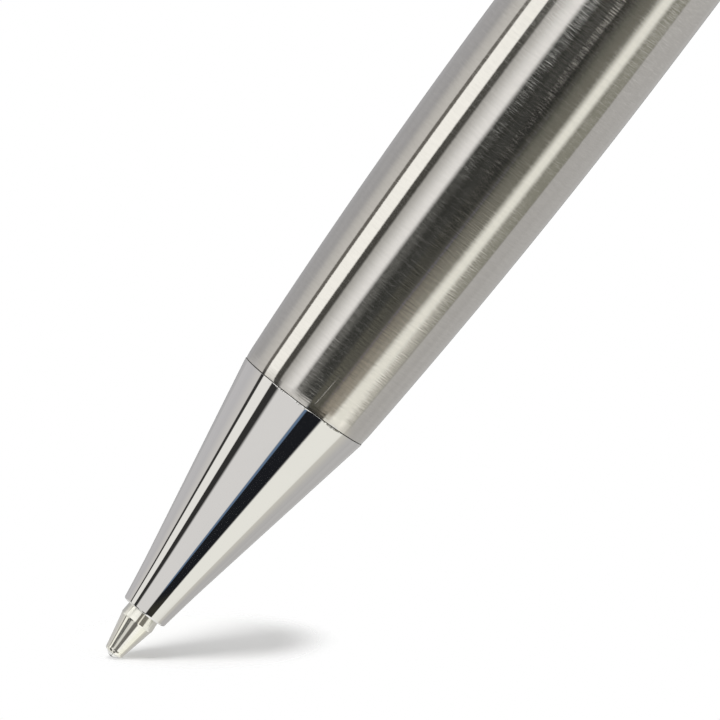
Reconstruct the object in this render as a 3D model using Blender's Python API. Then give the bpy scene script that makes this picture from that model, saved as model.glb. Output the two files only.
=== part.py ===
"""Twist-action metal ballpoint pen, modelled piece by piece at its real size.

Every piece is drawn along the pen's own axis: heights run back from the front of the writing ball
towards the end cap, and radii are measured from that axis. One empty carries the whole pen and lays
it on its side along +X, resting on z = 0, with the clip turned down towards the table.

Lengths are in metres and angles in radians.
"""

import math

import bmesh
import bpy
from mathutils import Matrix, Vector

# Clearances
SEAT_GAP = 0.0001          # between faces that are clamped or screwed together
PRESS_GAP = 0.0001         # round fits that are pressed or screwed
SLIDE_GAP = 0.0002         # round fits that slide or turn
POINT_GAP = 0.00011        # round the point in the nose's bore
SOCKET_GAP = 0.00003       # the ink film between ball and socket
SLOT_GAP = 0.00015         # each side of the cross pin in its slots
CUT_OVERRUN = 0.001        # how far a cutter passes the wall that it cuts
WELD_DISTANCE = 0.0000003  # closes the seam of a turned piece

# Writing ball and point
BALL_RADIUS = 0.0005
LIP_SETBACK = 0.00025      # from the front of the ball to the swaged lip
LIP_WALL = 0.00005
SWAGE_SETBACK = 0.00055    # where the swaged end meets the cone
SWAGE_RADIUS = 0.00068
POINT_RADIUS = 0.00119
POINT_CONE_LENGTH = 0.00228
POINT_LENGTH = 0.0154
POINT_BORE_RADIUS = 0.00045
CAPILLARY_RADIUS = 0.0002
CAPILLARY_LENGTH = 0.0012

# Refill
REFILL_LENGTH = 0.0981     # ball to rear end, the usual length of a metal refill
REFILL_RADIUS = 0.00295
REFILL_WALL = 0.0004
NECK_WALL = 0.00036
NECK_SETBACK = 0.0119      # from the front of the ball
NECK_LENGTH = 0.0061
NECK_SHOULDER_THICKNESS = 0.0008
NECK_SPIGOT_LENGTH = 0.0027
INK_BORE_RADIUS = 0.0007
INK_LENGTH = 0.048
PLUG_HEAD_LENGTH = 0.0018
PLUG_SPIGOT_LENGTH = 0.0031
PLUG_VENT_RADIUS = 0.0004

# Return spring
SPRING_WIRE_RADIUS = 0.0002
SPRING_TURNS = 5.5
SPRING_POINTS_PER_TURN = 10
SPRING_TUBE_RESOLUTION = 1

# Nose
POINT_REACH = 0.00358      # how far the point stands out of the nose
NOSE_LENGTH = 0.0172       # front face to seam
NOSE_END_WALL = 0.00021    # at the front face, before the end's slight swell
NOSE_LIP_SWELL = 0.00008
NOSE_LIP_LENGTH = 0.004
NOSE_EDGE_ROUND = 0.00012
NOSE_SPRING_WALL = 0.0005
NOSE_SHANK_WALL = 0.00055
NOSE_SHANK_LENGTH = 0.0057
SEAM_CHAMFER = 0.00006

# Barrel
BARREL_FRONT_WALL = 0.0009
BARREL_WALL = 0.00085
BARREL_SWELL = 0.00115     # how much the widest ring stands out past the seam
BARREL_WIDEST_SETBACK = 0.032
BARREL_FRONT_SEAT_LENGTH = 0.010
BARREL_REAR_SEAT_LENGTH = 0.0135
BARREL_REAR_EDGE = 0.00025

# Rear bush
BUSH_WALL = 0.0005
BUSH_LENGTH = 0.0127
BUSH_SETBACK = 0.0003      # from the barrel's rear face

# Guide sleeve
GUIDE_NECK_WALL = 0.0007
GUIDE_NECK_REACH = 0.0101  # how far the neck runs forward inside the barrel
GUIDE_STEP_WALL = 0.00095
GUIDE_FLANGE_STEP = 0.00045
GUIDE_FLANGE_THICKNESS = 0.0018
GUIDE_STEM_WALL = 0.0007
GUIDE_STEM_TAIL = 0.0010   # past the retaining ring
FRICTION_RING_SECTION_RADIUS = 0.00035
FRICTION_GROOVE_WIDTH = 0.0009
FRICTION_GROOVE_DEPTH = 0.00055

# Collar and clip
COLLAR_STEP = 0.0003       # the collar stands this far out past the barrel's rear end
COLLAR_HEIGHT = 0.003
COLLAR_EDGE = 0.0002
CLIP_THICKNESS = 0.0008
CLIP_LENGTH = 0.0375       # from the tongue to the raised end
CLIP_ROOT_WIDTH = 0.0032
CLIP_END_WIDTH = 0.0022
CLIP_BEND_RADIUS = 0.0009
CLIP_STAND = 0.0004        # between the collar and the arm's underside
CLIP_ARCH = 0.00045
CLIP_BUMP_HEIGHT = 0.0008
CLIP_BUMP_LENGTH = 0.0036
CLIP_BUMP_GAP = 0.00015
CLIP_FLARE_LENGTH = 0.003
CLIP_FLARE_RISE = 0.0004
CLIP_WINDOW_GAP = 0.00015
CLIP_RUN_STATIONS = 14
CLIP_FLARE_STATIONS = 4
CLIP_BEND_STATIONS = 5
CLIP_SPACING_POWER = 1.6   # crowds the stations towards the bump

# Twist mechanism
TWIST_ANGLE = math.pi
TRAVEL = 0.006             # how far half a turn draws the refill back
PIN_RADIUS = 0.0006
PIN_END_GAP = 0.00015
WASHER_THICKNESS = 0.0004
CAM_WALL = 0.0009
CAM_END_WALL = 0.0019      # of the sleeve, past each end of its slots
CAM_SLOT_STATIONS = 24
CAM_SLOT_END_STATIONS = 4
FOLLOWER_RADIUS = 0.0022
FOLLOWER_HEAD_LENGTH = 0.0015
FOLLOWER_STOP_GAP = 0.00045
FOLLOWER_TAIL_LENGTH = 0.0025
RETAINER_THICKNESS = 0.0006
RETAINER_STAND = 0.0007    # how far the ring stands out of its groove past the stem
RETAINER_GROOVE_DEPTH = 0.00045
RETAINER_OPENING = math.radians(70.0)

# Knob and end cap
KNOB_LENGTH = 0.0242
KNOB_TAPER = 0.0005
KNOB_BORE_TAIL = 0.0015    # how far the bore runs past the guide sleeve
KNOB_EDGE = 0.0002
KNOB_REAR_ROUND = 0.0006
FLUTE_COUNT = 24
FLUTE_DEPTH = 0.0002
FLUTE_RUN_OUT = 0.0004
FLUTE_BAND_START = 0.004
FLUTE_BAND_LENGTH = 0.013
CAP_STEP = 0.0003          # the cap's rim is this much smaller than the knob's rear end
CAP_THICKNESS = 0.002
CAP_RIM_ROUND = 0.0012
CAP_SPIGOT_RADIUS = 0.0033
CAP_SPIGOT_LENGTH = 0.004
CAP_ROUND_STEPS = 3

# How the pen lies: the clip points this far below the horizontal
CLIP_DROP_ANGLE = math.radians(37.5)

# Facets round each turned piece
OUTER_SIDES = 48
INNER_SIDES = 32
SMALL_SIDES = 24
SIDES_PER_FLUTE = 3
BALL_RINGS = 8
RING_SECTION_SIDES = 6
BARREL_OUTER_STATIONS = 13
BARREL_INNER_STATIONS = 5
SHARP_ANGLE = math.radians(28.0)

# Radii that follow from the sizes above
REFILL_BORE_RADIUS = REFILL_RADIUS - REFILL_WALL
REFILL_ROOM_RADIUS = REFILL_RADIUS + SLIDE_GAP
NECK_SOCKET_RADIUS = POINT_RADIUS + PRESS_GAP
NECK_RADIUS = NECK_SOCKET_RADIUS + NECK_WALL
NOSE_BORE_RADIUS = POINT_RADIUS + POINT_GAP
NOSE_CONE_TIP_RADIUS = NOSE_BORE_RADIUS + NOSE_END_WALL
NOSE_SHANK_RADIUS = REFILL_ROOM_RADIUS + NOSE_SHANK_WALL
BARREL_FRONT_BORE_RADIUS = NOSE_SHANK_RADIUS + PRESS_GAP
SEAM_RADIUS = BARREL_FRONT_BORE_RADIUS + BARREL_FRONT_WALL
BARREL_WIDEST_RADIUS = SEAM_RADIUS + BARREL_SWELL
LINER_RADIUS = BARREL_FRONT_BORE_RADIUS - PRESS_GAP
GUIDE_NECK_RADIUS = REFILL_ROOM_RADIUS + GUIDE_NECK_WALL
GUIDE_FLANGE_RADIUS = GUIDE_NECK_RADIUS + GUIDE_FLANGE_STEP
BUSH_BORE_RADIUS = GUIDE_NECK_RADIUS + PRESS_GAP
BUSH_RADIUS = BUSH_BORE_RADIUS + BUSH_WALL
BARREL_REAR_BORE_RADIUS = BUSH_RADIUS + PRESS_GAP
BARREL_REAR_RADIUS = BARREL_REAR_BORE_RADIUS + BARREL_WALL
COLLAR_BORE_RADIUS = GUIDE_NECK_RADIUS + PRESS_GAP
COLLAR_RADIUS = BARREL_REAR_RADIUS + COLLAR_STEP
FOLLOWER_HEAD_RADIUS = REFILL_ROOM_RADIUS - SLIDE_GAP
GUIDE_STEM_BORE_RADIUS = FOLLOWER_RADIUS + SLIDE_GAP
GUIDE_STEM_RADIUS = GUIDE_STEM_BORE_RADIUS + GUIDE_STEM_WALL
CAM_BORE_RADIUS = GUIDE_STEM_RADIUS + SLIDE_GAP
CAM_RADIUS = CAM_BORE_RADIUS + CAM_WALL
RETAINER_RADIUS = GUIDE_STEM_RADIUS + RETAINER_STAND
FRICTION_GROOVE_RADIUS = GUIDE_FLANGE_RADIUS - FRICTION_GROOVE_DEPTH
FRICTION_RING_RADIUS = FRICTION_GROOVE_RADIUS + PRESS_GAP / 2.0 + FRICTION_RING_SECTION_RADIUS
KNOB_BORE_RADIUS = CAM_RADIUS + PRESS_GAP
KNOB_RECESS_RADIUS = FRICTION_RING_RADIUS + FRICTION_RING_SECTION_RADIUS + PRESS_GAP
KNOB_FRONT_RADIUS = COLLAR_RADIUS - COLLAR_STEP
KNOB_REAR_RADIUS = KNOB_FRONT_RADIUS - KNOB_TAPER
PIN_HALF_LENGTH = KNOB_BORE_RADIUS - PIN_END_GAP
CAP_BORE_RADIUS = CAP_SPIGOT_RADIUS + PRESS_GAP
CAP_RADIUS = KNOB_REAR_RADIUS - CAP_STEP
CAP_FACE_RADIUS = CAP_RADIUS - CAP_RIM_ROUND
SLOT_WIDTH = 2.0 * (PIN_RADIUS + SLOT_GAP)
TRAVEL_PER_RADIAN = TRAVEL / TWIST_ANGLE
CAM_LENGTH = 2.0 * CAM_END_WALL + TRAVEL + SLOT_WIDTH

# Stations along the axis, measured back from the front of the ball
NOSE_FRONT = POINT_REACH
SPRING_STEP = NECK_SETBACK - SLIDE_GAP - SEAT_GAP
SHOULDER_FRONT = NECK_SETBACK + NECK_LENGTH
TUBE_FRONT = SHOULDER_FRONT + NECK_SHOULDER_THICKNESS + SEAT_GAP
TUBE_REAR = REFILL_LENGTH - PLUG_HEAD_LENGTH - SEAT_GAP
SEAM = NOSE_FRONT + NOSE_LENGTH
NOSE_REAR = SEAM + NOSE_SHANK_LENGTH
BARREL_FRONT = SEAM + SEAT_GAP
FOLLOWER_FRONT = REFILL_LENGTH + SEAT_GAP
GUIDE_STEP = FOLLOWER_FRONT + FOLLOWER_HEAD_LENGTH + TRAVEL + FOLLOWER_STOP_GAP
FLANGE_FRONT = GUIDE_STEP + GUIDE_STEP_WALL
FLANGE_REAR = FLANGE_FRONT + GUIDE_FLANGE_THICKNESS
COLLAR_REAR = FLANGE_FRONT - SEAT_GAP
COLLAR_FRONT = COLLAR_REAR - COLLAR_HEIGHT
COLLAR_MIDDLE = COLLAR_FRONT + COLLAR_HEIGHT / 2.0
BARREL_REAR = COLLAR_FRONT - SEAT_GAP
BARREL_LENGTH = BARREL_REAR - BARREL_FRONT
GUIDE_FRONT = BARREL_REAR - GUIDE_NECK_REACH
LINER_FRONT = NOSE_REAR + SLIDE_GAP
LINER_REAR = GUIDE_FRONT - SEAT_GAP
BUSH_REAR = BARREL_REAR - BUSH_SETBACK
WASHER_FRONT = FLANGE_REAR + SEAT_GAP
CAM_FRONT = WASHER_FRONT + WASHER_THICKNESS + SEAT_GAP
CAM_REAR = CAM_FRONT + CAM_LENGTH
PIN_STATION = CAM_FRONT + CAM_END_WALL + SLOT_WIDTH / 2.0
RETAINER_FRONT = CAM_REAR + SEAT_GAP
RETAINER_REAR = RETAINER_FRONT + RETAINER_THICKNESS
GUIDE_REAR = RETAINER_REAR + GUIDE_STEM_TAIL
KNOB_FRONT = COLLAR_REAR + SLIDE_GAP
KNOB_REAR = KNOB_FRONT + KNOB_LENGTH

# Finishes: colour, roughness, metallic
BRUSHED_STEEL = ("brushed_steel", (0.56, 0.55, 0.53), 0.32, 1.0)
POLISHED_STEEL = ("polished_steel", (0.74, 0.74, 0.75), 0.07, 1.0)
NICKEL_SILVER = ("nickel_silver", (0.82, 0.79, 0.68), 0.16, 1.0)
BRASS = ("brass", (0.72, 0.55, 0.27), 0.30, 1.0)
TURNED_STEEL = ("turned_steel", (0.50, 0.50, 0.51), 0.38, 1.0)
SPRING_STEEL = ("spring_steel", (0.46, 0.46, 0.48), 0.28, 1.0)
CARBIDE = ("carbide", (0.42, 0.42, 0.44), 0.12, 1.0)
WHITE_PLASTIC = ("white_plastic", (0.86, 0.86, 0.84), 0.45, 0.0)
BLACK_RUBBER = ("black_rubber", (0.03, 0.03, 0.03), 0.75, 0.0)
BLUE_INK = ("blue_ink", (0.02, 0.03, 0.22), 0.20, 0.0)


def clear_scene():
    """Remove whatever the scene holds."""
    for item in list(bpy.data.objects):
        bpy.data.objects.remove(item, do_unlink=True)


def material_of(finish):
    """Return the Principled material for a finish, making it on first use."""
    label, colour, roughness, metallic = finish
    material = bpy.data.materials.get(label)
    if material is None:
        material = bpy.data.materials.new(label)
        material.use_nodes = True
        shader = material.node_tree.nodes["Principled BSDF"]
        shader.inputs["Base Color"].default_value = (*colour, 1.0)
        shader.inputs["Roughness"].default_value = roughness
        shader.inputs["Metallic"].default_value = metallic
    return material


def finished_object(name, mesh, finish, carrier, station=0.0):
    """Link a mesh as a named piece, shaded smooth, at its station on the carrier's axis."""
    mesh.shade_smooth()
    mesh.set_sharp_from_angle(angle=SHARP_ANGLE)
    mesh.materials.append(material_of(finish))
    piece = bpy.data.objects.new(name, mesh)
    bpy.context.scene.collection.objects.link(piece)
    piece.parent = carrier
    piece.location = (0.0, 0.0, station)
    return piece


def mesh_from(shape, name):
    """Turn a bmesh into a mesh with its faces pointing out."""
    bmesh.ops.recalc_face_normals(shape, faces=shape.faces)
    mesh = bpy.data.meshes.new(name)
    shape.to_mesh(mesh)
    shape.free()
    return mesh


def turned_mesh(name, outline, sides):
    """Spin a closed outline of (radius, height) points once round the axis."""
    shape = bmesh.new()
    corners = [shape.verts.new((radius, 0.0, height)) for radius, height in outline]
    edges = [
        shape.edges.new((corners[index], corners[(index + 1) % len(corners)]))
        for index in range(len(corners))
        if outline[index][0] > 0.0 or outline[(index + 1) % len(corners)][0] > 0.0
    ]
    bmesh.ops.spin(
        shape,
        geom=corners + edges,
        cent=(0.0, 0.0, 0.0),
        axis=(0.0, 0.0, 1.0),
        angle=2.0 * math.pi,
        steps=sides,
        use_merge=True,
    )
    bmesh.ops.remove_doubles(shape, verts=shape.verts, dist=WELD_DISTANCE)
    return mesh_from(shape, name)


def turned_piece(name, outline, sides, finish, carrier, station):
    """Make a turned piece whose outline is measured from its own station."""
    return finished_object(name, turned_mesh(name, outline, sides), finish, carrier, station)


def lofted_mesh(name, sections, ring=False):
    """Bridge equal sections in order; an open run is capped and a ring is joined up."""
    shape = bmesh.new()
    rows = [[shape.verts.new(point) for point in section] for section in sections]
    count = len(rows[0])
    pairs = list(zip(rows, rows[1:]))
    if ring:
        pairs.append((rows[-1], rows[0]))
    for near, far in pairs:
        for index in range(count):
            following = (index + 1) % count
            shape.faces.new((near[index], near[following], far[following], far[index]))
    if not ring:
        shape.faces.new(rows[0])
        shape.faces.new(rows[-1])
    bmesh.ops.triangulate(shape, faces=[face for face in shape.faces if len(face.verts) > 4])
    return mesh_from(shape, name)


def cut_with(piece, cutter_mesh, carrier, location=(0.0, 0.0, 0.0)):
    """Cut a piece with a mesh that is kept as a wire guide beside it."""
    cutter = bpy.data.objects.new(cutter_mesh.name, cutter_mesh)
    bpy.context.scene.collection.objects.link(cutter)
    cutter.parent = carrier
    cutter.location = location
    cutter.hide_render = True
    cutter.display_type = "WIRE"
    cut = piece.modifiers.new(cutter_mesh.name, "BOOLEAN")
    cut.operation = "DIFFERENCE"
    cut.object = cutter


def shares(count):
    """Return count + 1 even shares from 0 to 1."""
    return [index / count for index in range(count + 1)]


def polar(radius, angle, height):
    """Return the point at a radius, angle and height."""
    return Vector((radius * math.cos(angle), radius * math.sin(angle), height))


def nose_radius(height):
    """Outer radius of the nose at a height behind its front face."""
    cone = NOSE_CONE_TIP_RADIUS + (SEAM_RADIUS - NOSE_CONE_TIP_RADIUS) * height / NOSE_LENGTH
    fade = max(0.0, 1.0 - height / NOSE_LIP_LENGTH)
    return cone + NOSE_LIP_SWELL * fade * fade


def spring_bore_radius():
    """Radius of the nose's bore round the return spring."""
    walled = nose_radius(SPRING_STEP - NOSE_FRONT) - NOSE_SPRING_WALL
    return min(walled, REFILL_ROOM_RADIUS - SLIDE_GAP)


def barrel_radius(height):
    """Outer radius of the barrel at a height behind its front face."""
    if height < BARREL_WIDEST_SETBACK:
        share = (BARREL_WIDEST_SETBACK - height) / BARREL_WIDEST_SETBACK
        drop = BARREL_WIDEST_RADIUS - SEAM_RADIUS
    else:
        share = (height - BARREL_WIDEST_SETBACK) / (BARREL_LENGTH - BARREL_WIDEST_SETBACK)
        drop = BARREL_WIDEST_RADIUS - BARREL_REAR_RADIUS
    return BARREL_WIDEST_RADIUS - drop * share * share


def build_nose(carrier):
    """Polished cone: point bore, spring bore, refill bore and threaded shank."""
    edge = NOSE_EDGE_ROUND
    turns = [math.pi / 2.0 * share for share in shares(3)]
    rounded = [
        (nose_radius(edge) - edge + edge * math.sin(turn), edge - edge * math.cos(turn))
        for turn in turns
    ]
    lip = [
        (nose_radius(NOSE_LIP_LENGTH * share), NOSE_LIP_LENGTH * share)
        for share in shares(5)[1:]
    ]
    step = SPRING_STEP - NOSE_FRONT
    spring_bore = spring_bore_radius()
    wide_bore = SHOULDER_FRONT - NOSE_FRONT - SLIDE_GAP - SEAT_GAP
    rear = NOSE_LENGTH + NOSE_SHANK_LENGTH
    outline = rounded + lip + [
        (SEAM_RADIUS - SEAM_CHAMFER, NOSE_LENGTH - SEAM_CHAMFER),
        (SEAM_RADIUS - SEAM_CHAMFER * 2.0, NOSE_LENGTH),
        (NOSE_SHANK_RADIUS, NOSE_LENGTH),
        (NOSE_SHANK_RADIUS, rear),
        (REFILL_ROOM_RADIUS, rear),
        (REFILL_ROOM_RADIUS, wide_bore),
        (spring_bore, wide_bore - (REFILL_ROOM_RADIUS - spring_bore)),
        (spring_bore, step),
        (NOSE_BORE_RADIUS, step),
        (NOSE_BORE_RADIUS, 0.0),
    ]
    turned_piece("nose_cone", outline, OUTER_SIDES, POLISHED_STEEL, carrier, NOSE_FRONT)


def build_barrel(carrier):
    """Bulged tube with a straight seat at each end."""
    outer = [
        (barrel_radius(height), height)
        for height in (
            SEAM_CHAMFER + (BARREL_LENGTH - SEAM_CHAMFER - BARREL_REAR_EDGE) * share
            for share in shares(BARREL_OUTER_STATIONS)
        )
    ]
    front_seat = BARREL_FRONT_SEAT_LENGTH
    rear_seat = BARREL_LENGTH - BARREL_REAR_SEAT_LENGTH
    inner = [
        (barrel_radius(height) - BARREL_WALL, height)
        for height in (
            rear_seat - (rear_seat - front_seat) * share for share in shares(BARREL_INNER_STATIONS)
        )
    ]
    outline = (
        [(SEAM_RADIUS - SEAM_CHAMFER, 0.0)]
        + outer
        + [
            (BARREL_REAR_RADIUS - BARREL_REAR_EDGE, BARREL_LENGTH),
            (BARREL_REAR_BORE_RADIUS, BARREL_LENGTH),
            (BARREL_REAR_BORE_RADIUS, rear_seat),
        ]
        + inner[:-1]
        + [
            (inner[-1][0], front_seat + inner[-1][0] - BARREL_FRONT_BORE_RADIUS),
            (BARREL_FRONT_BORE_RADIUS, front_seat),
            (BARREL_FRONT_BORE_RADIUS, 0.0),
        ]
    )
    turned_piece("barrel", outline, OUTER_SIDES, BRUSHED_STEEL, carrier, BARREL_FRONT)


def build_liner(carrier):
    """Thin tube that carries the refill through the hollow of the barrel."""
    length = LINER_REAR - LINER_FRONT
    outline = [
        (LINER_RADIUS, 0.0),
        (LINER_RADIUS, length),
        (REFILL_ROOM_RADIUS, length),
        (REFILL_ROOM_RADIUS, 0.0),
    ]
    turned_piece("liner_tube", outline, INNER_SIDES, BRASS, carrier, LINER_FRONT)


def build_rear_bush(carrier):
    """Bush in the barrel's rear seat, which takes the guide sleeve's thread."""
    outline = [
        (BUSH_RADIUS, 0.0),
        (BUSH_RADIUS, BUSH_LENGTH),
        (BUSH_BORE_RADIUS, BUSH_LENGTH),
        (BUSH_BORE_RADIUS, 0.0),
    ]
    turned_piece("rear_bush", outline, INNER_SIDES, BRASS, carrier, BUSH_REAR - BUSH_LENGTH)


def build_ball(carrier):
    """The rolling ball, turned round an axis across the pen so that it can roll about it."""
    outline = [
        (BALL_RADIUS * math.sin(math.pi * share), -BALL_RADIUS * math.cos(math.pi * share))
        for share in shares(BALL_RINGS)
    ]
    outline[0] = (0.0, -BALL_RADIUS)
    outline[-1] = (0.0, BALL_RADIUS)
    ball = turned_piece("writing_ball", outline, SMALL_SIDES, CARBIDE, carrier, BALL_RADIUS)
    ball.rotation_euler = (0.0, math.pi / 2.0, 0.0)


def build_point(carrier):
    """Point with its swaged lip, ball socket, capillary and ink bore."""
    socket = BALL_RADIUS + SOCKET_GAP
    lip_angle = math.acos((BALL_RADIUS - LIP_SETBACK) / socket)
    back_angle = math.pi - math.asin(CAPILLARY_RADIUS / socket)
    cup = [
        (socket * math.sin(angle), BALL_RADIUS - socket * math.cos(angle))
        for angle in (back_angle + (lip_angle - back_angle) * share for share in shares(7))
    ]
    lip_radius = cup[-1][0] + LIP_WALL
    cone_rear = SWAGE_SETBACK + POINT_CONE_LENGTH
    rear = LIP_SETBACK + POINT_LENGTH
    funnel = BALL_RADIUS + socket + CAPILLARY_LENGTH
    outline = [
        (lip_radius, LIP_SETBACK),
        ((lip_radius + SWAGE_RADIUS) / 2.0 + LIP_WALL / 2.0, (LIP_SETBACK + SWAGE_SETBACK) / 2.0),
        (SWAGE_RADIUS, SWAGE_SETBACK),
        (POINT_RADIUS, cone_rear),
        (POINT_RADIUS, rear),
        (POINT_BORE_RADIUS, rear),
        (POINT_BORE_RADIUS, funnel + POINT_BORE_RADIUS),
        (CAPILLARY_RADIUS, funnel),
    ] + cup
    turned_piece("refill_point", outline, SMALL_SIDES, NICKEL_SILVER, carrier, 0.0)


def build_neck(carrier):
    """Stepped adapter: it holds the point, carries the spring and plugs the tube."""
    socket_depth = LIP_SETBACK + POINT_LENGTH + SEAT_GAP - NECK_SETBACK
    spigot_rear = NECK_LENGTH + NECK_SHOULDER_THICKNESS + NECK_SPIGOT_LENGTH
    outline = [
        (NECK_RADIUS, 0.0),
        (NECK_RADIUS, NECK_LENGTH),
        (REFILL_RADIUS - SEAT_GAP, NECK_LENGTH),
        (REFILL_RADIUS, NECK_LENGTH + SEAT_GAP),
        (REFILL_RADIUS, NECK_LENGTH + NECK_SHOULDER_THICKNESS),
        (REFILL_BORE_RADIUS - PRESS_GAP, NECK_LENGTH + NECK_SHOULDER_THICKNESS),
        (REFILL_BORE_RADIUS - PRESS_GAP, spigot_rear),
        (INK_BORE_RADIUS, spigot_rear),
        (INK_BORE_RADIUS, socket_depth),
        (NECK_SOCKET_RADIUS, socket_depth),
        (NECK_SOCKET_RADIUS, 0.0),
    ]
    turned_piece("refill_neck", outline, SMALL_SIDES, BRASS, carrier, NECK_SETBACK)


def build_tube(carrier):
    """Plain metal ink tube."""
    length = TUBE_REAR - TUBE_FRONT
    outline = [
        (REFILL_RADIUS, 0.0),
        (REFILL_RADIUS, length),
        (REFILL_BORE_RADIUS, length),
        (REFILL_BORE_RADIUS, 0.0),
    ]
    turned_piece("refill_tube", outline, SMALL_SIDES, TURNED_STEEL, carrier, TUBE_FRONT)


def build_ink(carrier):
    """The ink that is left in the tube, behind the neck."""
    station = TUBE_FRONT + NECK_SPIGOT_LENGTH + SLIDE_GAP
    radius = REFILL_BORE_RADIUS - PRESS_GAP
    outline = [(0.0, 0.0), (radius, 0.0), (radius, INK_LENGTH), (0.0, INK_LENGTH)]
    turned_piece("ink_column", outline, SMALL_SIDES, BLUE_INK, carrier, station)


def build_plug(carrier):
    """Vented rear end of the refill."""
    spigot_radius = REFILL_BORE_RADIUS - PRESS_GAP
    head_front = PLUG_SPIGOT_LENGTH
    head_rear = PLUG_SPIGOT_LENGTH + PLUG_HEAD_LENGTH
    outline = [
        (spigot_radius, 0.0),
        (spigot_radius, head_front),
        (REFILL_RADIUS, head_front),
        (REFILL_RADIUS, head_rear),
        (PLUG_VENT_RADIUS, head_rear),
        (PLUG_VENT_RADIUS, 0.0),
    ]
    station = REFILL_LENGTH - head_rear
    turned_piece("refill_plug", outline, SMALL_SIDES, WHITE_PLASTIC, carrier, station)


def build_spring(carrier):
    """Coil between the nose's step and the neck's shoulder, drawn as one round wire."""
    coil_radius = (spring_bore_radius() + NECK_RADIUS) / 2.0
    front = SPRING_STEP + SEAT_GAP + SPRING_WIRE_RADIUS
    rear = SHOULDER_FRONT - SEAT_GAP - SPRING_WIRE_RADIUS
    count = int(SPRING_TURNS * SPRING_POINTS_PER_TURN)
    path = [
        polar(coil_radius, 2.0 * math.pi * SPRING_TURNS * share, front + (rear - front) * share)
        for share in shares(count)
    ]
    curve = bpy.data.curves.new("return_spring", "CURVE")
    curve.dimensions = "3D"
    curve.bevel_depth = SPRING_WIRE_RADIUS
    curve.bevel_resolution = SPRING_TUBE_RESOLUTION
    curve.use_fill_caps = True
    spline = curve.splines.new("POLY")
    spline.points.add(len(path) - 1)
    for point, place in zip(spline.points, path):
        point.co = (*place, 1.0)
    curve.materials.append(material_of(SPRING_STEEL))
    spring = bpy.data.objects.new("return_spring", curve)
    bpy.context.scene.collection.objects.link(spring)
    spring.parent = carrier
    pitch = (rear - front) / SPRING_TURNS
    print("return_spring gap between turns, mm:", round((pitch - 2.0 * SPRING_WIRE_RADIUS) * 1e3, 3))


def slot_prism(name, length, width, reach):
    """Prism with round ends: length along the axis, width round it, reach through the wall."""
    radius = width / 2.0
    straight = length / 2.0 - radius
    section = []
    for side in (1.0, -1.0):
        for share in shares(6):
            angle = math.pi * share
            section.append((side * radius * math.cos(angle), side * (straight + radius * math.sin(angle))))
    sections = [
        [Vector((across, depth, height)) for across, height in section]
        for depth in (-reach, reach)
    ]
    return lofted_mesh(name, sections)


def build_guide_sleeve(carrier):
    """Fixed sleeve: threaded neck, grooved flange and a stem with two straight slots."""
    flange_front = FLANGE_FRONT - GUIDE_FRONT
    flange_rear = flange_front + GUIDE_FLANGE_THICKNESS
    groove_front = flange_front + (GUIDE_FLANGE_THICKNESS - FRICTION_GROOVE_WIDTH) / 2.0
    groove_rear = groove_front + FRICTION_GROOVE_WIDTH
    rear = GUIDE_REAR - GUIDE_FRONT
    retainer_front = RETAINER_FRONT - GUIDE_FRONT - SEAT_GAP / 2.0
    retainer_rear = retainer_front + RETAINER_THICKNESS + SEAT_GAP
    retainer_radius = GUIDE_STEM_RADIUS - RETAINER_GROOVE_DEPTH
    step = GUIDE_STEP - GUIDE_FRONT
    outline = [
        (GUIDE_NECK_RADIUS, 0.0),
        (GUIDE_NECK_RADIUS, flange_front),
        (GUIDE_FLANGE_RADIUS, flange_front),
        (GUIDE_FLANGE_RADIUS, groove_front),
        (FRICTION_GROOVE_RADIUS, groove_front),
        (FRICTION_GROOVE_RADIUS, groove_rear),
        (GUIDE_FLANGE_RADIUS, groove_rear),
        (GUIDE_FLANGE_RADIUS, flange_rear),
        (GUIDE_STEM_RADIUS, flange_rear),
        (GUIDE_STEM_RADIUS, retainer_front),
        (retainer_radius, retainer_front),
        (retainer_radius, retainer_rear),
        (GUIDE_STEM_RADIUS, retainer_rear),
        (GUIDE_STEM_RADIUS, rear),
        (GUIDE_STEM_BORE_RADIUS, rear),
        (GUIDE_STEM_BORE_RADIUS, step),
        (REFILL_ROOM_RADIUS, step),
        (REFILL_ROOM_RADIUS, 0.0),
    ]
    sleeve = turned_piece("guide_sleeve", outline, INNER_SIDES, BRASS, carrier, GUIDE_FRONT)
    reach = GUIDE_STEM_RADIUS + CUT_OVERRUN
    cutter = slot_prism("guide_slot_cutter", TRAVEL + SLOT_WIDTH, SLOT_WIDTH, reach)
    cut_with(sleeve, cutter, carrier, (0.0, 0.0, PIN_STATION + TRAVEL / 2.0))


def helical_slot(name, start_angle):
    """Cutter for one cam slot: it winds back and round, with half-round ends."""
    slope = math.atan2(TRAVEL, TWIST_ANGLE * CAM_BORE_RADIUS)
    half_width = SLOT_WIDTH / 2.0 / math.cos(slope)
    middle_radius = (CAM_BORE_RADIUS + CAM_RADIUS) / 2.0
    end_angle = SLOT_WIDTH / 2.0 / middle_radius
    inner = CAM_BORE_RADIUS - SLIDE_GAP
    outer = CAM_RADIUS + CUT_OVERRUN

    def section(turn, half):
        angle = start_angle - turn
        height = TRAVEL_PER_RADIAN * turn
        return [
            polar(inner, angle, height - half),
            polar(outer, angle, height - half),
            polar(outer, angle, height + half),
            polar(inner, angle, height + half),
        ]

    rounding = [
        math.pi / 2.0 * (index + 0.5) / CAM_SLOT_END_STATIONS for index in range(CAM_SLOT_END_STATIONS)
    ]
    sections = [section(-end_angle * math.cos(turn), half_width * math.sin(turn)) for turn in rounding]
    sections += [section(TWIST_ANGLE * share, half_width) for share in shares(CAM_SLOT_STATIONS)]
    sections += [
        section(TWIST_ANGLE + end_angle * math.cos(turn), half_width * math.sin(turn))
        for turn in reversed(rounding)
    ]
    return lofted_mesh(name, sections)


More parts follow.
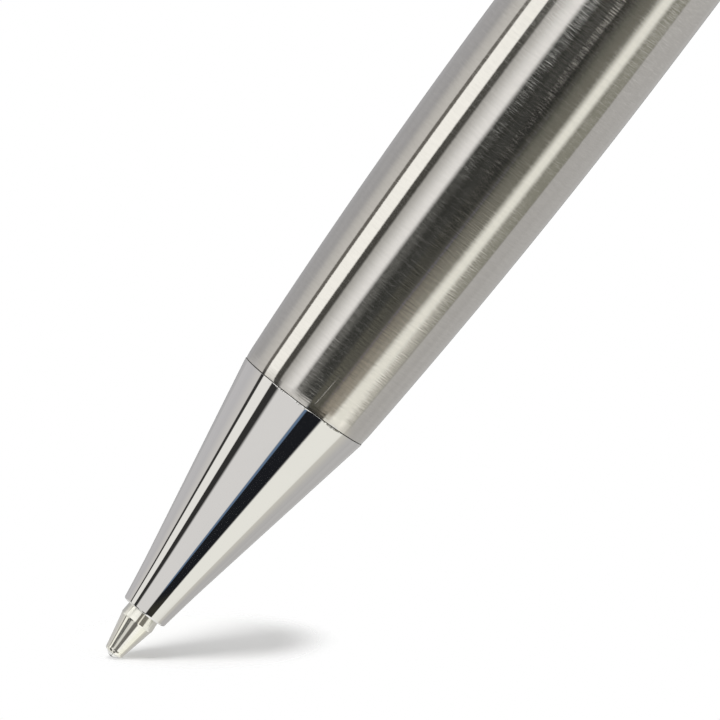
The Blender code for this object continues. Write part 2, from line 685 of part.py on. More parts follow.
def build_cam_sleeve(carrier):
    """Sleeve that turns with the knob and draws the pin along by its two helical slots."""
    outline = [
        (CAM_RADIUS, 0.0),
        (CAM_RADIUS, CAM_LENGTH),
        (CAM_BORE_RADIUS, CAM_LENGTH),
        (CAM_BORE_RADIUS, 0.0),
    ]
    sleeve = turned_piece("cam_sleeve", outline, INNER_SIDES, TURNED_STEEL, carrier, CAM_FRONT)
    for index in range(2):
        start = math.pi / 2.0 + math.pi * index
        cutter = helical_slot("cam_slot_cutter_%d" % (index + 1), start)
        cut_with(sleeve, cutter, carrier, (0.0, 0.0, PIN_STATION))


def build_follower(carrier):
    """Plunger with a pushing head and a cross hole for the pin."""
    length = PIN_STATION + FOLLOWER_TAIL_LENGTH - FOLLOWER_FRONT
    outline = [
        (0.0, 0.0),
        (FOLLOWER_HEAD_RADIUS, 0.0),
        (FOLLOWER_HEAD_RADIUS, FOLLOWER_HEAD_LENGTH),
        (FOLLOWER_RADIUS, FOLLOWER_HEAD_LENGTH),
        (FOLLOWER_RADIUS, length),
        (0.0, length),
    ]
    follower = turned_piece("follower", outline, SMALL_SIDES, WHITE_PLASTIC, carrier, FOLLOWER_FRONT)
    radius = PIN_RADIUS + PRESS_GAP
    reach = FOLLOWER_RADIUS + CUT_OVERRUN
    hole = turned_mesh(
        "pin_hole_cutter", [(0.0, -reach), (radius, -reach), (radius, reach), (0.0, reach)], SMALL_SIDES
    )
    hole.transform(Matrix.Rotation(math.pi / 2.0, 4, "X"))
    cut_with(follower, hole, carrier, (0.0, 0.0, PIN_STATION))


def build_follower_pin(carrier):
    """Cross pin that rides in the straight and the helical slots."""
    half = PIN_HALF_LENGTH
    outline = [(0.0, -half), (PIN_RADIUS, -half), (PIN_RADIUS, half), (0.0, half)]
    pin = turned_piece("follower_pin", outline, SMALL_SIDES, TURNED_STEEL, carrier, PIN_STATION)
    pin.rotation_euler = (math.pi / 2.0, 0.0, 0.0)


def build_friction_ring(carrier):
    """Rubber ring that sits in the flange's groove."""
    section = FRICTION_RING_SECTION_RADIUS
    sections = []
    for share in shares(SMALL_SIDES)[:-1]:
        angle = 2.0 * math.pi * share
        sections.append(
            [
                polar(
                    FRICTION_RING_RADIUS + section * math.cos(2.0 * math.pi * part),
                    angle,
                    section * math.sin(2.0 * math.pi * part),
                )
                for part in shares(RING_SECTION_SIDES)[:-1]
            ]
        )
    mesh = lofted_mesh("friction_ring", sections, ring=True)
    station = FLANGE_FRONT + GUIDE_FLANGE_THICKNESS / 2.0
    finished_object("friction_ring", mesh, BLACK_RUBBER, carrier, station)


def build_thrust_washer(carrier):
    """Plain washer between the flange and the cam sleeve."""
    bore = GUIDE_STEM_RADIUS + SLIDE_GAP
    outline = [
        (GUIDE_FLANGE_RADIUS, 0.0),
        (GUIDE_FLANGE_RADIUS, WASHER_THICKNESS),
        (bore, WASHER_THICKNESS),
        (bore, 0.0),
    ]
    turned_piece("thrust_washer", outline, INNER_SIDES, WHITE_PLASTIC, carrier, WASHER_FRONT)


def build_retaining_ring(carrier):
    """Split ring in the stem's rear groove."""
    bore = GUIDE_STEM_RADIUS - RETAINER_GROOVE_DEPTH + PRESS_GAP
    start = RETAINER_OPENING / 2.0
    sweep = 2.0 * math.pi - RETAINER_OPENING
    sections = []
    for share in shares(SMALL_SIDES):
        angle = start + sweep * share
        sections.append(
            [
                polar(bore, angle, 0.0),
                polar(RETAINER_RADIUS, angle, 0.0),
                polar(RETAINER_RADIUS, angle, RETAINER_THICKNESS),
                polar(bore, angle, RETAINER_THICKNESS),
            ]
        )
    mesh = lofted_mesh("retaining_ring", sections)
    finished_object("retaining_ring", mesh, SPRING_STEEL, carrier, RETAINER_FRONT)


def build_collar(carrier):
    """Ring behind the barrel, with a window for the clip's tongue."""
    outline = [
        (COLLAR_RADIUS - COLLAR_EDGE, 0.0),
        (COLLAR_RADIUS, COLLAR_EDGE),
        (COLLAR_RADIUS, COLLAR_HEIGHT - COLLAR_EDGE),
        (COLLAR_RADIUS - COLLAR_EDGE, COLLAR_HEIGHT),
        (COLLAR_BORE_RADIUS, COLLAR_HEIGHT),
        (COLLAR_BORE_RADIUS, 0.0),
    ]
    collar = turned_piece("clip_collar", outline, OUTER_SIDES, POLISHED_STEEL, carrier, COLLAR_FRONT)
    half_height = CLIP_THICKNESS / 2.0 + CLIP_WINDOW_GAP
    half_width = CLIP_ROOT_WIDTH / 2.0 + CLIP_WINDOW_GAP
    inner = COLLAR_BORE_RADIUS - CUT_OVERRUN
    outer = COLLAR_RADIUS + CUT_OVERRUN
    sections = [
        [
            Vector((radius, -half_width, -half_height)),
            Vector((radius, half_width, -half_height)),
            Vector((radius, half_width, half_height)),
            Vector((radius, -half_width, half_height)),
        ]
        for radius in (inner, outer)
    ]
    window = lofted_mesh("clip_window_cutter", sections)
    cut_with(collar, window, carrier, (0.0, 0.0, COLLAR_MIDDLE))


def clip_centreline():
    """Points (radius, height) of the clip's middle from its tongue to its raised end, with shares.

    Heights are measured forward from the middle of the collar. The last value of each point is its
    distance from the middle of the contact bump, or None on the tongue and the bend.
    """
    top = COLLAR_RADIUS + CLIP_STAND + CLIP_THICKNESS / 2.0
    tongue = COLLAR_BORE_RADIUS + PRESS_GAP
    bump_reach = CLIP_LENGTH - CLIP_FLARE_LENGTH
    bump_barrel = barrel_radius(COLLAR_MIDDLE - bump_reach - BARREL_FRONT)
    bump = bump_barrel + CLIP_BUMP_GAP + CLIP_BUMP_HEIGHT + CLIP_THICKNESS / 2.0
    points = [(tongue, 0.0, None), (top - CLIP_BEND_RADIUS, 0.0, None)]
    for share in shares(CLIP_BEND_STATIONS)[1:]:
        turn = math.pi / 2.0 * share
        radius = top - CLIP_BEND_RADIUS + CLIP_BEND_RADIUS * math.sin(turn)
        points.append((radius, CLIP_BEND_RADIUS - CLIP_BEND_RADIUS * math.cos(turn), None))
    run = bump_reach - CLIP_BEND_RADIUS
    for share in shares(CLIP_RUN_STATIONS)[1:]:
        eased = 1.0 - (1.0 - share) ** CLIP_SPACING_POWER
        forward = CLIP_BEND_RADIUS + run * eased
        radius = top + (bump - top) * eased + 4.0 * CLIP_ARCH * eased * (1.0 - eased)
        points.append((radius, forward, bump_reach - forward))
    slope = (bump - top - 4.0 * CLIP_ARCH) / run
    for share in shares(CLIP_FLARE_STATIONS)[1:]:
        step = CLIP_FLARE_LENGTH * share
        rise = slope * step * (1.0 - share) + CLIP_FLARE_RISE * share * share
        points.append((bump + rise, bump_reach + step, step))
    return points


# Half width and half thickness shares of the clip's section, outer face first; the last value says
# how much of the contact bump a point takes
CLIP_SECTION_SHARES = (
    (1.0, -0.6, 0.0),
    (1.0, 0.3, 0.0),
    (0.72, 0.86, 0.0),
    (0.0, 1.0, 0.0),
    (-0.72, 0.86, 0.0),
    (-1.0, 0.3, 0.0),
    (-1.0, -0.6, 0.0),
    (-0.8, -1.0, 0.0),
    (-0.35, -1.0, 1.0),
    (0.35, -1.0, 1.0),
    (0.8, -1.0, 0.0),
)
CLIP_END_THICKNESS_SHARE = 0.55
CLIP_END_WIDTH_SHARE = 0.6


def build_clip(carrier):
    """Bent steel strip: tongue, bend, arched arm, contact bump and raised end."""
    points = clip_centreline()
    hinge_radius = (COLLAR_BORE_RADIUS + COLLAR_RADIUS) / 2.0
    sections = []
    for index, (radius, forward, bump_distance) in enumerate(points):
        before = points[max(index - 1, 0)]
        after = points[min(index + 1, len(points) - 1)]
        heading = Vector((after[0] - before[0], 0.0, before[1] - after[1])).normalized()
        outward = Vector((-heading.z, 0.0, heading.x))
        reach = forward / CLIP_LENGTH
        half_width = (CLIP_ROOT_WIDTH + (CLIP_END_WIDTH - CLIP_ROOT_WIDTH) * reach) / 2.0
        half_thickness = CLIP_THICKNESS / 2.0
        if index == len(points) - 1:
            half_width *= CLIP_END_WIDTH_SHARE
            half_thickness *= CLIP_END_THICKNESS_SHARE
        swell = 0.0
        if bump_distance is not None and abs(bump_distance) < CLIP_BUMP_LENGTH / 2.0:
            swell = CLIP_BUMP_HEIGHT * math.cos(math.pi * bump_distance / CLIP_BUMP_LENGTH) ** 2
        centre = Vector((radius - hinge_radius, 0.0, -forward))
        sections.append(
            [
                centre
                + Vector((0.0, half_width * across, 0.0))
                + outward * (half_thickness * through - swell * bump_share)
                for across, through, bump_share in CLIP_SECTION_SHARES
            ]
        )
    mesh = lofted_mesh("clip_arm", sections)
    clip = finished_object("clip_arm", mesh, POLISHED_STEEL, carrier)
    clip.location = (hinge_radius, 0.0, COLLAR_MIDDLE)


def knob_radius(height):
    """Outer radius of the knob at a height behind its front face."""
    return KNOB_FRONT_RADIUS + (KNOB_REAR_RADIUS - KNOB_FRONT_RADIUS) * height / KNOB_LENGTH


def build_knob(carrier):
    """Tapered knob with a fluted band, lofted from rings of equal count."""
    sides = FLUTE_COUNT * SIDES_PER_FLUTE
    band_end = FLUTE_BAND_START + FLUTE_BAND_LENGTH
    rear = KNOB_LENGTH
    recess = CAM_FRONT - KNOB_FRONT - SEAT_GAP
    bore = GUIDE_REAR - KNOB_FRONT + KNOB_BORE_TAIL
    round_start = rear - KNOB_REAR_ROUND
    corner = knob_radius(round_start)
    rings = [
        (knob_radius(0.0) - KNOB_EDGE, 0.0, 0.0),
        (knob_radius(KNOB_EDGE), KNOB_EDGE, 0.0),
        (knob_radius(FLUTE_BAND_START), FLUTE_BAND_START, 0.0),
        (knob_radius(FLUTE_BAND_START), FLUTE_BAND_START + FLUTE_RUN_OUT, 1.0),
        (knob_radius(band_end), band_end - FLUTE_RUN_OUT, 1.0),
        (knob_radius(band_end), band_end, 0.0),
        (corner, round_start, 0.0),
        (corner - KNOB_REAR_ROUND * (1.0 - math.cos(math.pi / 4.0)),
         round_start + KNOB_REAR_ROUND * math.sin(math.pi / 4.0), 0.0),
        (corner - KNOB_REAR_ROUND, rear, 0.0),
        (CAP_BORE_RADIUS, rear, 0.0),
        (CAP_BORE_RADIUS, bore, 0.0),
        (KNOB_BORE_RADIUS, bore, 0.0),
        (KNOB_BORE_RADIUS, recess, 0.0),
        (KNOB_RECESS_RADIUS, recess, 0.0),
        (KNOB_RECESS_RADIUS, 0.0, 0.0),
    ]
    sections = []
    for radius, height, depth in rings:
        sections.append(
            [
                polar(
                    radius - (FLUTE_DEPTH * depth if index % SIDES_PER_FLUTE == 0 else 0.0),
                    2.0 * math.pi * index / sides,
                    height,
                )
                for index in range(sides)
            ]
        )
    mesh = lofted_mesh("twist_knob", sections, ring=True)
    finished_object("twist_knob", mesh, BRUSHED_STEEL, carrier, KNOB_FRONT)


def build_end_cap(carrier):
    """Polished plug with a rounded rim and a flat end face."""
    spigot = CAP_SPIGOT_LENGTH
    rim_front = spigot + SEAT_GAP
    rear = rim_front + CAP_THICKNESS
    fall = CAP_RIM_ROUND
    rim = [
        (CAP_FACE_RADIUS + fall * math.cos(angle), rear - fall + fall * math.sin(angle))
        for angle in (math.pi / 2.0 * share for share in shares(CAP_ROUND_STEPS))
    ]
    outline = [
        (0.0, 0.0),
        (CAP_SPIGOT_RADIUS, 0.0),
        (CAP_SPIGOT_RADIUS, rim_front),
        (CAP_RADIUS, rim_front),
    ] + rim + [(0.0, rear)]
    turned_piece("end_cap", outline, OUTER_SIDES, POLISHED_STEEL, carrier, KNOB_REAR - spigot)


def empty(name, parent=None):
    """Make an empty that carries pieces."""
    carrier = bpy.data.objects.new(name, None)
    bpy.context.scene.collection.objects.link(carrier)
    carrier.parent = parent
    return carrier


def lay_down(pen):
    """Turn the pen on its side, and stand it on z = 0 with its box centred on the origin."""
    roll = -(math.pi / 2.0 - CLIP_DROP_ANGLE)
    turn = Matrix.Rotation(roll, 4, "X") @ Matrix.Rotation(math.pi / 2.0, 4, "Y")
    pen.rotation_euler = turn.to_euler()
    bpy.context.view_layer.update()
    shells = [
        bpy.data.objects[name]
        for name in ("writing_ball", "barrel", "clip_collar", "clip_arm", "twist_knob", "end_cap")
    ]
    corners = [item.matrix_world @ vertex.co for item in shells for vertex in item.data.vertices]
    low = [min(corner[axis] for corner in corners) for axis in range(3)]
    high = [max(corner[axis] for corner in corners) for axis in range(3)]
    pen.location = (-(low[0] + high[0]) / 2.0, -(low[1] + high[1]) / 2.0, -low[2])


def main():
    """Build the pen."""
    clear_scene()
    pen = empty("pen_axis")
    barrel_carrier = empty("barrel_carrier", pen)
    nose_carrier = empty("nose_carrier", pen)
    knob_carrier = empty("knob_carrier", pen)
    follower_carrier = empty("follower_carrier", pen)
    refill_carrier = empty("refill_carrier", pen)

    build_nose(nose_carrier)

    build_barrel(barrel_carrier)
    build_liner(barrel_carrier)
    build_rear_bush(barrel_carrier)
    build_guide_sleeve(barrel_carrier)
    build_friction_ring(barrel_carrier)
    build_thrust_washer(barrel_carrier)
    build_retaining_ring(barrel_carrier)
    build_collar(barrel_carrier)
    build_clip(barrel_carrier)

    build_knob(knob_carrier)
    build_cam_sleeve(knob_carrier)
    build_end_cap(knob_carrier)

    build_follower(follower_carrier)
    build_follower_pin(follower_carrier)

    build_ball(refill_carrier)
    build_point(refill_carrier)
    build_neck(refill_carrier)
    build_tube(refill_carrier)
    build_ink(refill_carrier)
    build_plug(refill_carrier)
    build_spring(refill_carrier)

    lay_down(pen)


main()
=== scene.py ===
"""Looks of the metal ballpoint pen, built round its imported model.

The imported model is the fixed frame: the pen lies along +X with its writing ball at the -X end. Each
sub-assembly is a class that holds its sizes, builds its meshes in place and dresses them. Heights
along the pen are measured back from the front of the writing ball, as in the part's own source.

Lengths are in metres and angles in degrees, unless a name says otherwise.
"""

import logging
import math
from collections.abc import Callable, Sequence
from dataclasses import dataclass
from enum import Enum

import bmesh
import bpy
from mathutils import Matrix, Vector, noise


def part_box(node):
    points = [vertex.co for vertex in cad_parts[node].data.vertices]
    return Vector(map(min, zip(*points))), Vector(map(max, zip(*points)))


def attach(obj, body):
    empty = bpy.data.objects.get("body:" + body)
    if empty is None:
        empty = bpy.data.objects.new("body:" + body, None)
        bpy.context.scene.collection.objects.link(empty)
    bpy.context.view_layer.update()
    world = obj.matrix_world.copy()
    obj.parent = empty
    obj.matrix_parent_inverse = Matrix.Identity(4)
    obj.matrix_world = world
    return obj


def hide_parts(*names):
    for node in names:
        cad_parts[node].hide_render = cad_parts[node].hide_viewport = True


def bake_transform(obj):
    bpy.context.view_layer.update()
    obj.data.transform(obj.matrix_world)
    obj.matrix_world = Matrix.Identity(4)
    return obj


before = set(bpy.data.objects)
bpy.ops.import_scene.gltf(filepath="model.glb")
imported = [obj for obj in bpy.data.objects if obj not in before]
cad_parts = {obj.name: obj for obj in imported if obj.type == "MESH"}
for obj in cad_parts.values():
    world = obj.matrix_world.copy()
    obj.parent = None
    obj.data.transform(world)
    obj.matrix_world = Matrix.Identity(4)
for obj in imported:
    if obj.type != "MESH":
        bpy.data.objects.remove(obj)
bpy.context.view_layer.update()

LOG = logging.getLogger("pen")
IMAGE_SIDE = 720.0
FULL_TURN = 2.0 * math.pi

Outline = list[tuple[float, float]]
Shift = Callable[[float, float, float], tuple[float, float]]
Colour = tuple[float, float, float]
Labels = tuple[str, ...]
Piece = bpy.types.Object
Node = bpy.types.Node
Socket = bpy.types.NodeSocket


class Body(str, Enum):
    """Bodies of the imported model."""

    BARREL = "barrel_body"
    NOSE = "nose"
    CLIP = "clip"
    KNOB = "knob"
    REFILL = "refill"
    BALL = "ball"


class Slot(str, Enum):
    """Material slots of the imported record."""

    BRUSHED_STEEL = "brushed_steel"
    POLISHED_STEEL = "polished_steel"
    NICKEL_SILVER = "nickel_silver"
    BRASS = "brass"
    TURNED_STEEL = "turned_steel"
    SPRING_STEEL = "spring_steel"
    CARBIDE = "carbide"
    WHITE_PLASTIC = "white_plastic"
    BLACK_RUBBER = "black_rubber"
    BLUE_INK = "blue_ink"


# Places on the pen


@dataclass(frozen=True)
class PenAxis:
    """Where the pen's own axis lies in the frame."""

    tip: float
    across: float
    height: float

    @classmethod
    def of_frame(cls) -> "PenAxis":
        """Find the axis from the ball's and the barrel's boxes."""
        ball_low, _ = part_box("writing_ball")
        low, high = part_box("barrel")
        return cls(ball_low.x, (low.y + high.y) / 2.0, (low.z + high.z) / 2.0)

    def point(self, radius: float, turn: float, station: float) -> Vector:
        """Place a point in the frame.

        Args:
            radius: Distance from the axis.
            turn: Angle round the axis in radians, from +Y towards +Z.
            station: Height behind the front of the writing ball.

        Returns:
            The point in the frame.
        """
        across, up = radius * math.cos(turn), radius * math.sin(turn)
        return Vector((self.tip + station, self.across + across, self.height + up))

    def stand(self, station: float) -> Matrix:
        """Matrix that stands a shape built along +Z on the axis at a station."""
        place = Matrix.Translation(self.point(0.0, 0.0, station))
        return place @ Matrix.Rotation(math.pi / 2.0, 4, "Y")


AXIS = PenAxis.of_frame()


def steps(start: float, end: float, count: int) -> list[float]:
    """Return count + 1 even values from start to end."""
    return [start + (end - start) * index / count for index in range(count + 1)]


def even(count: int) -> list[float]:
    """Return count + 1 even shares from 0 to 1."""
    return steps(0.0, 1.0, count)


def arc(centre: tuple[float, float], radius: float, start: float, end: float, count: int) -> Outline:
    """Points of a small arc in an outline.

    Args:
        centre: Radius and station of the arc's centre.
        radius: The arc's own radius.
        start: First angle, where 0 points away from the axis and 90 points to the rear.
        end: Last angle.
        count: Number of straight steps.

    Returns:
        The arc's points in order.
    """
    turns = [math.radians(angle) for angle in steps(start, end, count)]
    return [(centre[0] + radius * math.cos(turn), centre[1] + radius * math.sin(turn)) for turn in turns]


def ring(
    outer: float, bore: float, front: float, rear: float, edge: float, count: int, groove: Sequence = ()
) -> Outline:
    """Closed section of a plain ring with round outer edges.

    Args:
        outer: Outer radius.
        bore: Inner radius.
        front: Station of the front face.
        rear: Station of the rear face.
        edge: Radius of the round edges.
        count: Number of straight steps in each.
        groove: Points between the two edges.

    Returns:
        The section.
    """
    front_edge = arc((outer - edge, front + edge), edge, -90.0, 0.0, count)
    rear_edge = arc((outer - edge, rear - edge), edge, 0.0, 90.0, count)
    return [*front_edge, *groove, *rear_edge, (bore, rear), (bore, front)]


# Meshes

SQUARE = ((-1.0, -1.0), (1.0, -1.0), (1.0, 1.0), (-1.0, 1.0))
ROUND_SIDES = 256
FINE_SIDES = 96
FINE_EDGE_SIDES = 720
SHARP = 32.0
WELD = 2.0e-7


def object_of(name: str, content: bpy.types.ID) -> Piece:
    """Link a mesh, a camera or a lamp as an object at the origin."""
    item = bpy.data.objects.new(name, content)
    bpy.context.scene.collection.objects.link(item)
    return item


def mesh_of(name: str, shape: bmesh.types.BMesh, sharp: float = SHARP) -> bpy.types.Mesh:
    """Close a bmesh into a smooth mesh whose faces point out.

    Args:
        name: Name of the mesh.
        shape: The bmesh, which is freed.
        sharp: Edges that turn more than this stay crisp.

    Returns:
        The mesh.
    """
    bmesh.ops.remove_doubles(shape, verts=shape.verts, dist=WELD)
    bmesh.ops.recalc_face_normals(shape, faces=shape.faces)
    mesh = bpy.data.meshes.new(name)
    shape.to_mesh(mesh)
    shape.free()
    mesh.shade_smooth()
    mesh.set_sharp_from_angle(angle=math.radians(sharp))
    return mesh


def turned(
    name: str, outline: Outline, sides: int = ROUND_SIDES, shift: Shift | None = None, sharp: float = SHARP
) -> Piece:
    """Turn a closed outline round the pen's axis.

    Args:
        name: Name of the piece.
        outline: Radius and station of each corner, in order round the section.
        sides: Facets round the piece.
        shift: Optional function of (radius, station, turn) that moves a point.
        sharp: Edges that turn more than this stay crisp.

    Returns:
        The piece.
    """
    shape = bmesh.new()
    rows = []
    for radius, station in outline:
        if radius <= 0.0:
            rows.append([shape.verts.new(AXIS.point(0.0, 0.0, station))])
            continue
        row = []
        for index in range(sides):
            turn = FULL_TURN * index / sides
            reach, behind = shift(radius, station, turn) if shift else (radius, station)
            row.append(shape.verts.new(AXIS.point(reach, turn, behind)))
        rows.append(row)
    for near, far in zip(rows, rows[1:] + rows[:1]):
        if len(near) == 1 and len(far) == 1:
            continue
        for index in range(sides):
            following = (index + 1) % sides
            corners = []
            for row, place in ((near, index), (near, following), (far, following), (far, index)):
                vertex = row[place if len(row) > 1 else 0]
                if vertex not in corners:
                    corners.append(vertex)
            shape.faces.new(corners)
    return object_of(name, mesh_of(name, shape, sharp))


def lofted(name: str, sections: list[list[Vector]], sharp: float = SHARP) -> Piece:
    """Bridge equal closed sections in order and cap both ends.

    Args:
        name: Name of the piece.
        sections: Points of each section.
        sharp: Edges that turn more than this stay crisp.

    Returns:
        The piece.
    """
    shape = bmesh.new()
    rows = [[shape.verts.new(point) for point in section] for section in sections]
    count = len(rows[0])
    for near, far in zip(rows, rows[1:]):
        for index in range(count):
            following = (index + 1) % count
            shape.faces.new((near[index], near[following], far[following], far[index]))
    shape.faces.new(rows[0])
    shape.faces.new(rows[-1])
    bmesh.ops.triangulate(shape, faces=[face for face in shape.faces if len(face.verts) > 4])
    return object_of(name, mesh_of(name, shape, sharp))


def baked(item: Piece, place: Matrix | None = None) -> Piece:
    """Turn an object with modifiers into a plain object of the same name.

    Args:
        item: The object, which is removed.
        place: Optional matrix for the finished mesh.

    Returns:
        The plain object.
    """
    depsgraph = bpy.context.evaluated_depsgraph_get()
    name = item.name
    mesh = bpy.data.meshes.new_from_object(item.evaluated_get(depsgraph), depsgraph=depsgraph)
    bpy.data.objects.remove(item)
    if place is not None:
        mesh.transform(place)
    mesh.name = name
    return object_of(name, mesh)


# Node trees


class NodeTree:
    """Short calls that add nodes to a tree and feed their inputs."""

    def __init__(self, tree: bpy.types.NodeTree) -> None:
        """Keep the tree."""
        self.tree = tree

    def node(self, kind: str, *values: object, **settings: object) -> Node:
        """Add a node, set its properties and feed its first inputs in order."""
        made = self.tree.nodes.new(kind)
        for key, value in settings.items():
            setattr(made, key, value)
        for socket, value in zip(made.inputs, values):
            self.feed(socket, value)
        return made

    def feed(self, socket: Socket, value: object) -> None:
        """Give an input a link or a constant."""
        if isinstance(value, Socket):
            self.tree.links.new(value, socket)
        else:
            socket.default_value = value

    def fill(self, node: Node, **values: object) -> Node:
        """Feed a node's inputs by name, with spaces for underscores."""
        for key, value in values.items():
            self.feed(node.inputs[key.replace("_", " ")], value)
        return node

    def math(self, operation: str, *values: object) -> Socket:
        """Add a Math node."""
        return self.node("ShaderNodeMath", *values, operation=operation).outputs[0]

    def ease(
        self, value: object, low: object, high: object, start: object = 0.0, end: object = 1.0
    ) -> Socket:
        """Map a value from low..high to start..end with a smooth step."""
        limits = (low, high, start, end)
        made = self.node("ShaderNodeMapRange", value, *limits, interpolation_type="SMOOTHSTEP")
        return made.outputs["Result"]

    def product(self, *values: object) -> Socket:
        """Multiply values in order."""
        result = values[0]
        for value in values[1:]:
            result = self.math("MULTIPLY", result, value)
        return result

    def distance(self, across: Socket, height: Socket) -> Socket:
        """Length of the way across and up."""
        squares = (self.product(way, way) for way in (across, height))
        return self.math("SQRT", self.math("ADD", *squares))

    def split(self, vector: Socket) -> bpy.types.NodeOutputs:
        """Split a vector into X, Y and Z."""
        return self.node("ShaderNodeSeparateXYZ", vector).outputs

    def join(self, *values: object) -> Socket:
        """Join up to three numbers to a vector."""
        return self.node("ShaderNodeCombineXYZ", *values).outputs["Vector"]


class GeometryTree(NodeTree):
    """A Geometry Nodes tree with named inputs."""

    def __init__(self, name: str, **numbers: float) -> None:
        """Start a tree that takes a geometry, numbers and a material, and gives a geometry.

        Args:
            name: Name of the tree.
            numbers: Name and default of each number, with underscores for spaces.
        """
        super().__init__(bpy.data.node_groups.new(name, "GeometryNodeTree"))
        self.sockets: dict[str, str] = {}
        face = self.tree.interface
        for way in ("INPUT", "OUTPUT"):
            face.new_socket("Geometry", in_out=way, socket_type="NodeSocketGeometry")
        for key, value in numbers.items():
            kind = "NodeSocketInt" if isinstance(value, int) else "NodeSocketFloat"
            socket = face.new_socket(key.replace("_", " "), in_out="INPUT", socket_type=kind)
            socket.default_value = value
            self.sockets[key] = socket.identifier
        socket = face.new_socket("Material", in_out="INPUT", socket_type="NodeSocketMaterial")
        self.sockets["Material"] = socket.identifier
        self.given = self.node("NodeGroupInput").outputs

    def ends(self, geometry: Socket) -> None:
        """Close the tree with Realize Instances and Set Material."""
        real = self.node("GeometryNodeRealizeInstances", geometry)
        dress = self.node("GeometryNodeSetMaterial", real.outputs["Geometry"])
        self.fill(dress, Material=self.given["Material"])
        self.node("NodeGroupOutput", dress.outputs["Geometry"])

    def run(
        self, name: str, source: Piece | None = None, place: Matrix | None = None, **values: object
    ) -> Piece:
        """Run the tree on an object and bake the result.

        Args:
            name: Name of the finished piece.
            source: Object that the tree changes, or None for a tree that makes its own shape.
            place: Optional matrix for the finished mesh.
            values: Value of each input by name, with underscores for spaces.

        Returns:
            The plain piece.
        """
        item = source or object_of(name, bpy.data.meshes.new(name))
        item.name = name
        modifier = item.modifiers.new(self.tree.name, "NODES")
        modifier.node_group = self.tree
        for key, value in values.items():
            modifier[self.sockets[key]] = value
        return baked(item, place)


class CoilTree(GeometryTree):
    """Round wire wound along +Z: springs and the crests of threads."""

    def __init__(self) -> None:
        """Build the tree."""
        super().__init__(
            "wound_wire",
            Turns=5.0,
            Steps=48,
            Coil_Radius=0.003,
            Length=0.01,
            Wire_Radius=0.0002,
            Wire_Sides=12,
        )
        given = self.given
        radius = given["Coil Radius"]
        spiral = self.node("GeometryNodeCurveSpiral")
        self.fill(spiral, Resolution=given["Steps"], Rotations=given["Turns"], Height=given["Length"])
        self.fill(spiral, Start_Radius=radius, End_Radius=radius)
        section = self.node("GeometryNodeCurvePrimitiveCircle", mode="RADIUS")
        self.fill(section, Resolution=given["Wire Sides"], Radius=given["Wire Radius"])
        sweep = self.node("GeometryNodeCurveToMesh", spiral.outputs["Curve"])
        self.fill(sweep, Profile_Curve=section.outputs["Curve"], Fill_Caps=True)
        smooth = self.node("GeometryNodeSetShadeSmooth", sweep.outputs["Mesh"])
        self.ends(smooth.outputs["Geometry"])


class FluteTree(GeometryTree):
    """Round grooves cut along a turned grip, by moving the points of its outer face inwards."""

    def __init__(self) -> None:
        """Build the tree."""
        super().__init__(
            "fluted_grip",
            Flutes=24.0,
            Depth=0.0002,
            Narrowness=2.0,
            Band_Start=0.0,
            Band_End=0.01,
            Run_Out=0.0006,
            Inner_Radius=0.0045,
            Axis_Y=0.0,
            Axis_Z=0.0,
        )
        given = self.given
        place = self.split(self.node("GeometryNodeInputPosition").outputs["Position"])
        across = self.math("SUBTRACT", place["Y"], given["Axis Y"])
        height = self.math("SUBTRACT", place["Z"], given["Axis Z"])
        radius = self.distance(across, height)
        turn = self.math("ARCTAN2", height, across)
        wave = self.math("COSINE", self.product(turn, given["Flutes"]))
        trough = self.math("MAXIMUM", self.math("ADD", self.product(wave, 0.5), 0.5), 0.0)
        groove = self.math("POWER", trough, given["Narrowness"])
        front = self.ramp(self.math("SUBTRACT", place["X"], given["Band Start"]))
        rear = self.ramp(self.math("SUBTRACT", given["Band End"], place["X"]))
        outside = self.math("GREATER_THAN", radius, given["Inner Radius"])
        depth = self.product(self.product(front, rear), self.product(groove, outside))
        share = self.math("DIVIDE", self.product(depth, given["Depth"]), radius)
        inwards = (self.product(way, share, -1.0) for way in (across, height))
        move = self.node("GeometryNodeSetPosition", given["Geometry"])
        self.fill(move, Offset=self.join(0.0, *inwards))
        self.ends(move.outputs["Geometry"])

    def ramp(self, distance: Socket) -> Socket:
        """Rise smoothly from 0 to 1 over the run-out."""
        return self.ease(distance, 0.0, self.given["Run Out"])


class ShaderTree(NodeTree):
    """Short calls for a material's, a world's or a group's node tree."""

    def here(self) -> Socket:
        """Place of the shaded point in the frame."""
        return self.node("ShaderNodeTexCoord").outputs["Object"]

    def mix(self, factor: object, first: object, second: object, blend: str = "MIX") -> Socket:
        """Mix two colours."""
        made = self.fill(self.node("ShaderNodeMix", data_type="RGBA", blend_type=blend), Factor=factor)
        self.feed(made.inputs[6], first)
        self.feed(made.inputs[7], second)
        return made.outputs[2]

    def noise(self, vector: Socket, scale: object, detail: float = 2.0, roughness: float = 0.5) -> Socket:
        """Add a Noise Texture and return its value."""
        made = self.node("ShaderNodeTexNoise")
        self.fill(made, Vector=vector, Scale=scale, Detail=detail, Roughness=roughness)
        return made.outputs["Fac"]

    def group(self, tree: bpy.types.NodeTree, **values: object) -> Node:
        """Place a node group and set its inputs by name, with spaces for underscores."""
        made = self.node("ShaderNodeGroup")
        made.node_tree = tree
        return self.fill(made, **values)


